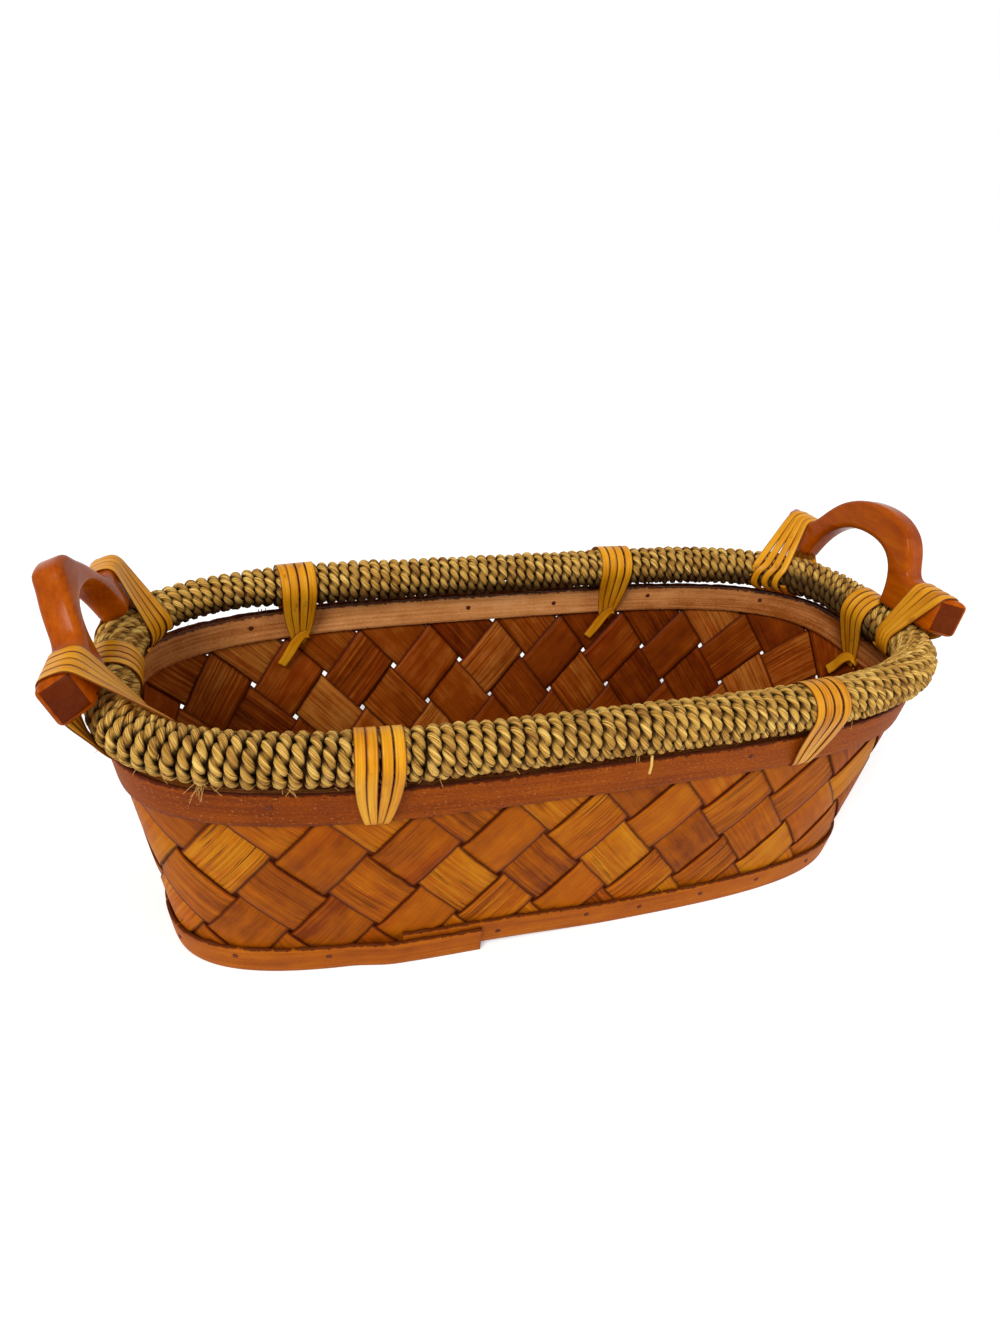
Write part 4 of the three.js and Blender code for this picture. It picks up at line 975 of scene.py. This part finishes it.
class HandleFrame:
    """A handle's own axes: along its feet, out through its thickness and up its height. It leans outwards
    about the rim roll. ground is the way out along the floor."""

    def __init__(self, side):
        self.size = place = HANDLE_SIZES[side]
        self.lean = lean = math.radians(place["lean"])
        turn = math.radians(place["turn"])
        self.sign, self.end_cell = (1, END_RIGHT) if side == "right" else (-1, END_LEFT)
        self.along = np.array([-self.sign * math.sin(turn), math.cos(turn), 0])
        self.ground = np.array([self.sign * math.cos(turn), math.sin(turn), 0])
        self.out = self.ground * math.cos(lean) - UP * math.sin(lean)
        self.up = UP * math.cos(lean) + self.ground * math.sin(lean)
        reach = float(np.max(hoop_point(np.linspace(0, COLUMNS, 4801)) @ self.ground))
        self.origin = (self.ground * reach + self.along * place["slide"] + UP * HOOP_HEIGHT
                       + self.up * FOOT_LIFT - self.out * place["inset"])


def add_handle(side):
    axes = HandleFrame(side)
    thickness, reach = axes.size["thickness"], axes.size["half_length"]
    shape = bmesh.new()
    ring = [shape.verts.new((x, y, -thickness / 2)) for x, y in handle_outline(axes.size)]
    pushed = bmesh.ops.extrude_face_region(shape, geom=[shape.faces.new(ring)])
    moved = [v for v in pushed["geom"] if isinstance(v, bmesh.types.BMVert)]
    bmesh.ops.translate(shape, vec=(0, 0, thickness), verts=moved)
    bmesh.ops.recalc_face_normals(shape, faces=shape.faces)
    rim = [e for e in shape.edges if abs(e.verts[0].co.z - e.verts[1].co.z) < 0.01]
    corners = [e for e in shape.edges if e not in rim and abs(e.verts[0].co.x) > reach - 1]
    bmesh.ops.bevel(shape, geom=rim + corners, offset=HANDLE_EDGE, segments=4, affect="EDGES", profile=0.5,
                    material=-1, clamp_overlap=True)
    for face in shape.faces:
        face.material_index = int(abs(face.normal.x) > 0.9 and abs(face.calc_center_median().x) > reach - 1)
    for vertex in shape.verts:
        x, y, z = vertex.co
        drift = axes.size["arch_shift"] + axes.size["arch_skew"] * y / axes.size["top"]
        from_end = abs(x) - (reach - END_LENGTH)
        x += drift * min(max(-from_end / 15, 0), 1)
        if abs(x) > reach - END_LENGTH:
            x += math.copysign(1, x) * axes.sign * z * END_SKEW * min((abs(x) - reach + END_LENGTH) / 4, 1)
        spot = axes.origin + axes.along * x + axes.out * (axes.sign * z) + axes.up * y
        vertex.co = Vector(spot + SHIFT) * MM
    bmesh.ops.recalc_face_normals(shape, faces=shape.faces)
    if shape.calc_volume(signed=True) < 0:
        bmesh.ops.reverse_faces(shape, faces=shape.faces)
    mesh = smooth_mesh(shape, bpy.data.meshes.new(f"bow_{side}"))
    add_piece(mesh, [varnish, end_grain], [f"handle_{side}"])
    print(side, "handle length in mm:", 2 * reach)


for side in HANDLE_SIZES:
    add_handle(side)

# %% [markdown]
# Each foot is tied down with the same cane: four turns over the foot, drawn together round the rim roll.
# The roll curves under the foot, so every stop on it is looked up on the hoop's real outline. Otherwise
# the cane would sink into the roll, or stand off it.

# %% Handle ties
TIE_TURNS = 4
TIE_AIR = 0.15
FOOT_ROUNDING = 2.2
TIE_PATHS = {
    "left_front": dict(inset=11.5, outer=4, inner=-4, spacing=3.9, on_foot=5),
    "left_back": dict(inset=11.5, outer=-9, inner=-12, spacing=3.9, on_foot=4),
    "right_front": dict(inset=12.5, outer=-6, inner=-13, spacing=2.9, on_foot=5),
    "right_back": dict(inset=16, outer=-12, inner=-18, spacing=3.3, on_foot=4.3),
}


def roll_reach(axes, along_foot, out=0):
    """How far out the roll lies at a place along a handle, a given way out from its middle line."""
    cells = np.linspace(axes.end_cell - 2, axes.end_cell + 2, 801)
    points = hoop_point(cells) - axes.origin + hoop_out(cells) * out
    place = points @ axes.along
    order = np.argsort(place)
    return float(np.interp(along_foot, place[order], (points @ axes.ground)[order]))


def roll_slant(axes, along_foot):
    return roll_reach(axes, along_foot + 1) - roll_reach(axes, along_foot)


def add_tie(side, end_name, end, seed):
    axes = HandleFrame(side)
    path = TIE_PATHS[f"{side}_{end_name}"]
    rolls = np.random.default_rng(seed)
    gap = CANE_THICKNESS / 2 + TIE_AIR
    half, top, low = axes.size["thickness"] / 2 + gap, axes.size["foot"] + gap, -gap
    shoulder = top - FOOT_ROUNDING
    foot_place = axes.size["half_length"] - path["inset"]
    roll_up = HOOP_HEIGHT - axes.origin[2]
    radius = CORD_OUTSIDE + gap
    roll_width = min(path["spacing"] + 1, CANE_WIDTH)
    foot_width = min(path["on_foot"] + 0.4, CANE_WIDTH + 0.2)
    stops = []

    def leaned(out, height):
        return (out * math.cos(axes.lean) + height * math.sin(axes.lean),
                height * math.cos(axes.lean) - out * math.sin(axes.lean))

    def meets_roll(spot, corner, turn):
        """Where the cane touches the roll, on its straight way from or to a corner of the foot."""
        wide = math.hypot(1, roll_slant(axes, spot))
        return touch_angle((corner[0] - roll_reach(axes, spot)) / wide, corner[1] - roll_up, radius, turn)

    def round_roll(step, shares):
        """Stops round the roll, from the outer side (share 0) to the inner side (share 1)."""
        slide = foot_place - step * path["spacing"]
        outer, inner = end * (slide + path["outer"]), end * (slide + path["inner"])
        start = meets_roll(outer, leaned(half, low), -1)
        finish = meets_roll(inner, leaned(-half, shoulder), 1) - 2 * math.pi
        for share in shares:
            spot = outer + (inner - outer) * share
            angle = start + (finish - start) * share
            stops.append((roll_reach(axes, spot, radius * math.cos(angle)),
                          roll_up + radius * math.sin(angle), spot, roll_width, roll_slant(axes, spot)))

    def place(across, beside, up):
        return axes.origin + axes.ground * across[:, None] + axes.along * beside[:, None] + UP * up[:, None]

    middle = (TIE_TURNS - 1) / 2
    round_roll(-middle - 1, np.linspace(0.75, 1, 4))
    for turn in range(TIE_TURNS):
        step = turn - middle
        on_foot = end * (foot_place - step * path["on_foot"]) + rolls.uniform(-0.25, 0.25)
        for corner in ((-half, shoulder), (FOOT_ROUNDING - half, top), (0, top + 0.1),
                       (half - FOOT_ROUNDING, top), (half, shoulder), (half, low)):
            stops.append((*leaned(*corner), on_foot, foot_width, 0))
        round_roll(step, np.linspace(0, 1 if turn < TIE_TURNS - 1 else 0.8, 14))
    node = f"handle_tie_{side}_{end_name}"
    add_strip(f"{node}_cane", stops, place, [node])


for order, side in enumerate(HANDLE_SIZES):
    add_tie(side, "front", -1, 20 + order)
    add_tie(side, "back", 1, 30 + order)

# %% [markdown]
# Small tacks hold the bands, about one in every cell of the foot band and fewer on the rim. They are flat
# domes, darkened by the stain.

# %% Tacks
TACK_RADIUS = 1.5
TACK_HEIGHT = 0.5
FOOT_TACKS = (-0.2, 0.9, 2.1, 3.05, 4.3, 5.1, 6.05, 7, 8, *range(9, COLUMNS))
OUTER_TACKS = (0.6, 5.8, 9.4, 12.6, 17, 21.5)
INNER_TACKS = (1.5, 5, 9.2, 11.8, 13.6, 15.1, 16.4, 19.4, 22.6)


def tack_steel():
    paint = Paint("tack_steel")
    rust = paint.noise(paint.object_place(), (900, 900, 900))
    colour = paint.ramp(rust, [(0.35, rgb(0.035, 0.006, 0.001)), (0.65, rgb(0.17, 0.03, 0.004))])
    return paint.set(Base_Color=colour, Roughness=rust * 0.3 + 0.45, Specular_IOR_Level=0.2)


def add_tacks(name, cells, height, offset, facing):
    jitter = np.random.default_rng(41)
    shape = bmesh.new()
    size = Matrix.Diagonal((TACK_RADIUS * MM, TACK_RADIUS * MM, TACK_HEIGHT * MM, 1))
    for cell in cells:
        spot = cell, height + jitter.uniform(-2, 2)
        normal = wall_normal(*spot) * facing
        centre = (wall_point(*spot) + normal * offset + SHIFT) * MM
        turned = Vector(normal).to_track_quat("Z", "Y").to_matrix().to_4x4()
        bmesh.ops.create_uvsphere(shape, u_segments=10, v_segments=6, radius=1,
                                  matrix=Matrix.Translation(Vector(centre)) @ turned @ size)
    add_piece(smooth_mesh(shape, bpy.data.meshes.new(name)), [tack_metal])
    print(name, len(cells))


tack_metal = tack_steel()
add_tacks("foot_band_tacks", FOOT_TACKS, 9.5, BAND_INSIDE + FOOT_THICKNESS, 1)
add_tacks("outer_rim_band_tacks", OUTER_TACKS, 112.5, BAND_INSIDE + OUTER_THICKNESS, 1)
add_tacks("inner_rim_band_tacks", INNER_TACKS, 114, BAND_INSIDE + INNER_THICKNESS, -1)

# %% [markdown]
# Seagrass frays. Loose fibres stand off the roll, a small tuft hangs at the front left, and one cut straw
# end sticks out under the roll at the front.

# %% Loose fibres
LOOSE_FIBRES = 90
TUFT_CELL = 0.02
SMALL_TUFT_CELL = 0.8
DARK_TUFT_CELL = 19.2
STRAW_END_CELL = 4.43


def add_straws(name, paths, thickness, skin, colour):
    curve = bpy.data.curves.new(name, "CURVE")
    curve.dimensions = "3D"
    curve.bevel_depth = 1
    curve.bevel_resolution = 1
    for path in paths:
        spline = curve.splines.new("POLY")
        spline.points.add(len(path) - 1)
        for point, spot in zip(spline.points, path):
            point.co = (*((spot + SHIFT) * MM), 1)
            point.radius = thickness * MM
    straw = Paint(skin).set(Base_Color=colour, Roughness=0.6, Specular_IOR_Level=0.15)
    add_piece(curve, [straw])
    print(name, len(paths))


def fibre_path(rolls, cell, angle, length):
    """A short curved hair that starts on the roll's skin and bends as it leaves it."""
    out = hoop_out(cell) * math.cos(angle) + UP * math.sin(angle)
    start = hoop_point(cell) + out * (CORD_OUTSIDE - 0.4)
    along = unit(hoop_point(cell + 0.05) - hoop_point(cell - 0.05))
    heading = out * rolls.uniform(0.2, 0.8) + along * rolls.uniform(-1, 1)
    heading = unit(heading - UP * rolls.uniform(0, 0.8))
    droop = rolls.uniform(-0.1, 0.25) * length
    return [start + heading * length * t - UP * droop * t * t for t in np.linspace(0, 1, 5)]


def add_fibres():
    rolls = np.random.default_rng(77)
    loose = [fibre_path(rolls, rolls.uniform(0, COLUMNS), rolls.uniform(-1.6, 0.6), rolls.uniform(1.5, 4))
             for _ in range(LOOSE_FIBRES)]
    tuft = [fibre_path(rolls, TUFT_CELL + rolls.uniform(-0.08, 0.08), rolls.uniform(-1.2, -0.7),
                       rolls.uniform(4, 8)) for _ in range(9)]
    tuft += [fibre_path(rolls, SMALL_TUFT_CELL + rolls.uniform(-0.03, 0.03), -0.9, rolls.uniform(3, 5))
             for _ in range(4)]
    add_straws("rim_cord_fibres", loose + tuft, 0.11, "loose_straw", rgb(0.6, 0.33, 0.09))
    hanging = [fibre_path(rolls, DARK_TUFT_CELL + 0.04 * k, -1.7, 5 - k) for k in range(3)]
    add_straws("rim_cord_dark_fibres", hanging, 0.22, "dark_straw", rgb(0.05, 0.03, 0.012))


def add_straw_end():
    middle, out = hoop_point(STRAW_END_CELL), hoop_out(STRAW_END_CELL)
    top = middle + out * 9 - UP * 8.5
    foot = middle + out * 7.5 - UP * 19.5 + np.array([1.5, 0, 0])
    path = [top, (top + foot) / 2 + out * 0.7, foot]
    add_straws("rim_cord_straw_end", [path], 0.62, "cut_straw", rgb(0.85, 0.55, 0.13))


add_fibres()
add_straw_end()

# %% [markdown]
# The studio is a pale floor without a wall. Lamps as far off as the sun light it evenly, so the whole floor
# has one level and only the basket's soft shadow shows on it. The camera sees a little glow added to the
# floor and a plain white world behind it, which makes the background white without more light on the
# basket. Mirror-like rays see the same.

# %% Studio
FLOOR_GLOW = 0.35
WORLD_LEVEL = 0.42


def seen_directly(paint):
    """1 for what the camera sees, straight or in a mirror, and 0 for light that falls on the basket."""
    rays = [paint.node("ShaderNodeLightPath", {}, output=f"Is {kind} Ray")
            for kind in ("Camera", "Glossy", "Transmission")]
    return rays[0].math("MAXIMUM", rays[1]).math("MAXIMUM", rays[2])


def add_floor():
    shape = bmesh.new()
    bmesh.ops.create_grid(shape, x_segments=1, y_segments=1, size=12)
    mesh = smooth_mesh(shape, bpy.data.meshes.new("floor"))
    floor = bpy.data.objects.new("floor", mesh)
    floor.location.z = -0.0002
    bpy.context.collection.objects.link(floor)
    paint = Paint("floor_paint")
    mesh.materials.append(paint.set(Base_Color=rgb(0.85, 0.85, 0.85), Roughness=0.9, Specular_IOR_Level=0.1,
                                    Emission_Color=rgb(1, 1, 1),
                                    Emission_Strength=seen_directly(paint) * FLOOR_GLOW))


def add_sun(name, toward, strength, spread):
    data = bpy.data.lights.new(name, "SUN")
    data.energy = strength
    data.angle = math.radians(spread)
    lamp = bpy.data.objects.new(name, data)
    lamp.rotation_euler = Vector(toward).to_track_quat("Z", "Y").to_euler()
    bpy.context.collection.objects.link(lamp)


def add_world():
    paint = Paint("studio", bpy.data.worlds, "Background")
    level = paint.node("ShaderNodeMapRange", {}, seen_directly(paint), 0, 1, WORLD_LEVEL, 1)
    bpy.context.scene.world = paint.set(Color=rgb(1, 1, 1), Strength=level)


add_floor()
add_sun("key", (-0.55, -0.6, 0.85), strength=2.1, spread=22)
add_sun("fill", (0.8, -0.6, 0.5), strength=0.5, spread=40)
add_world()
bpy.context.scene.view_settings.view_transform = "Standard"
print("studio: one floor, two lamps and a world")
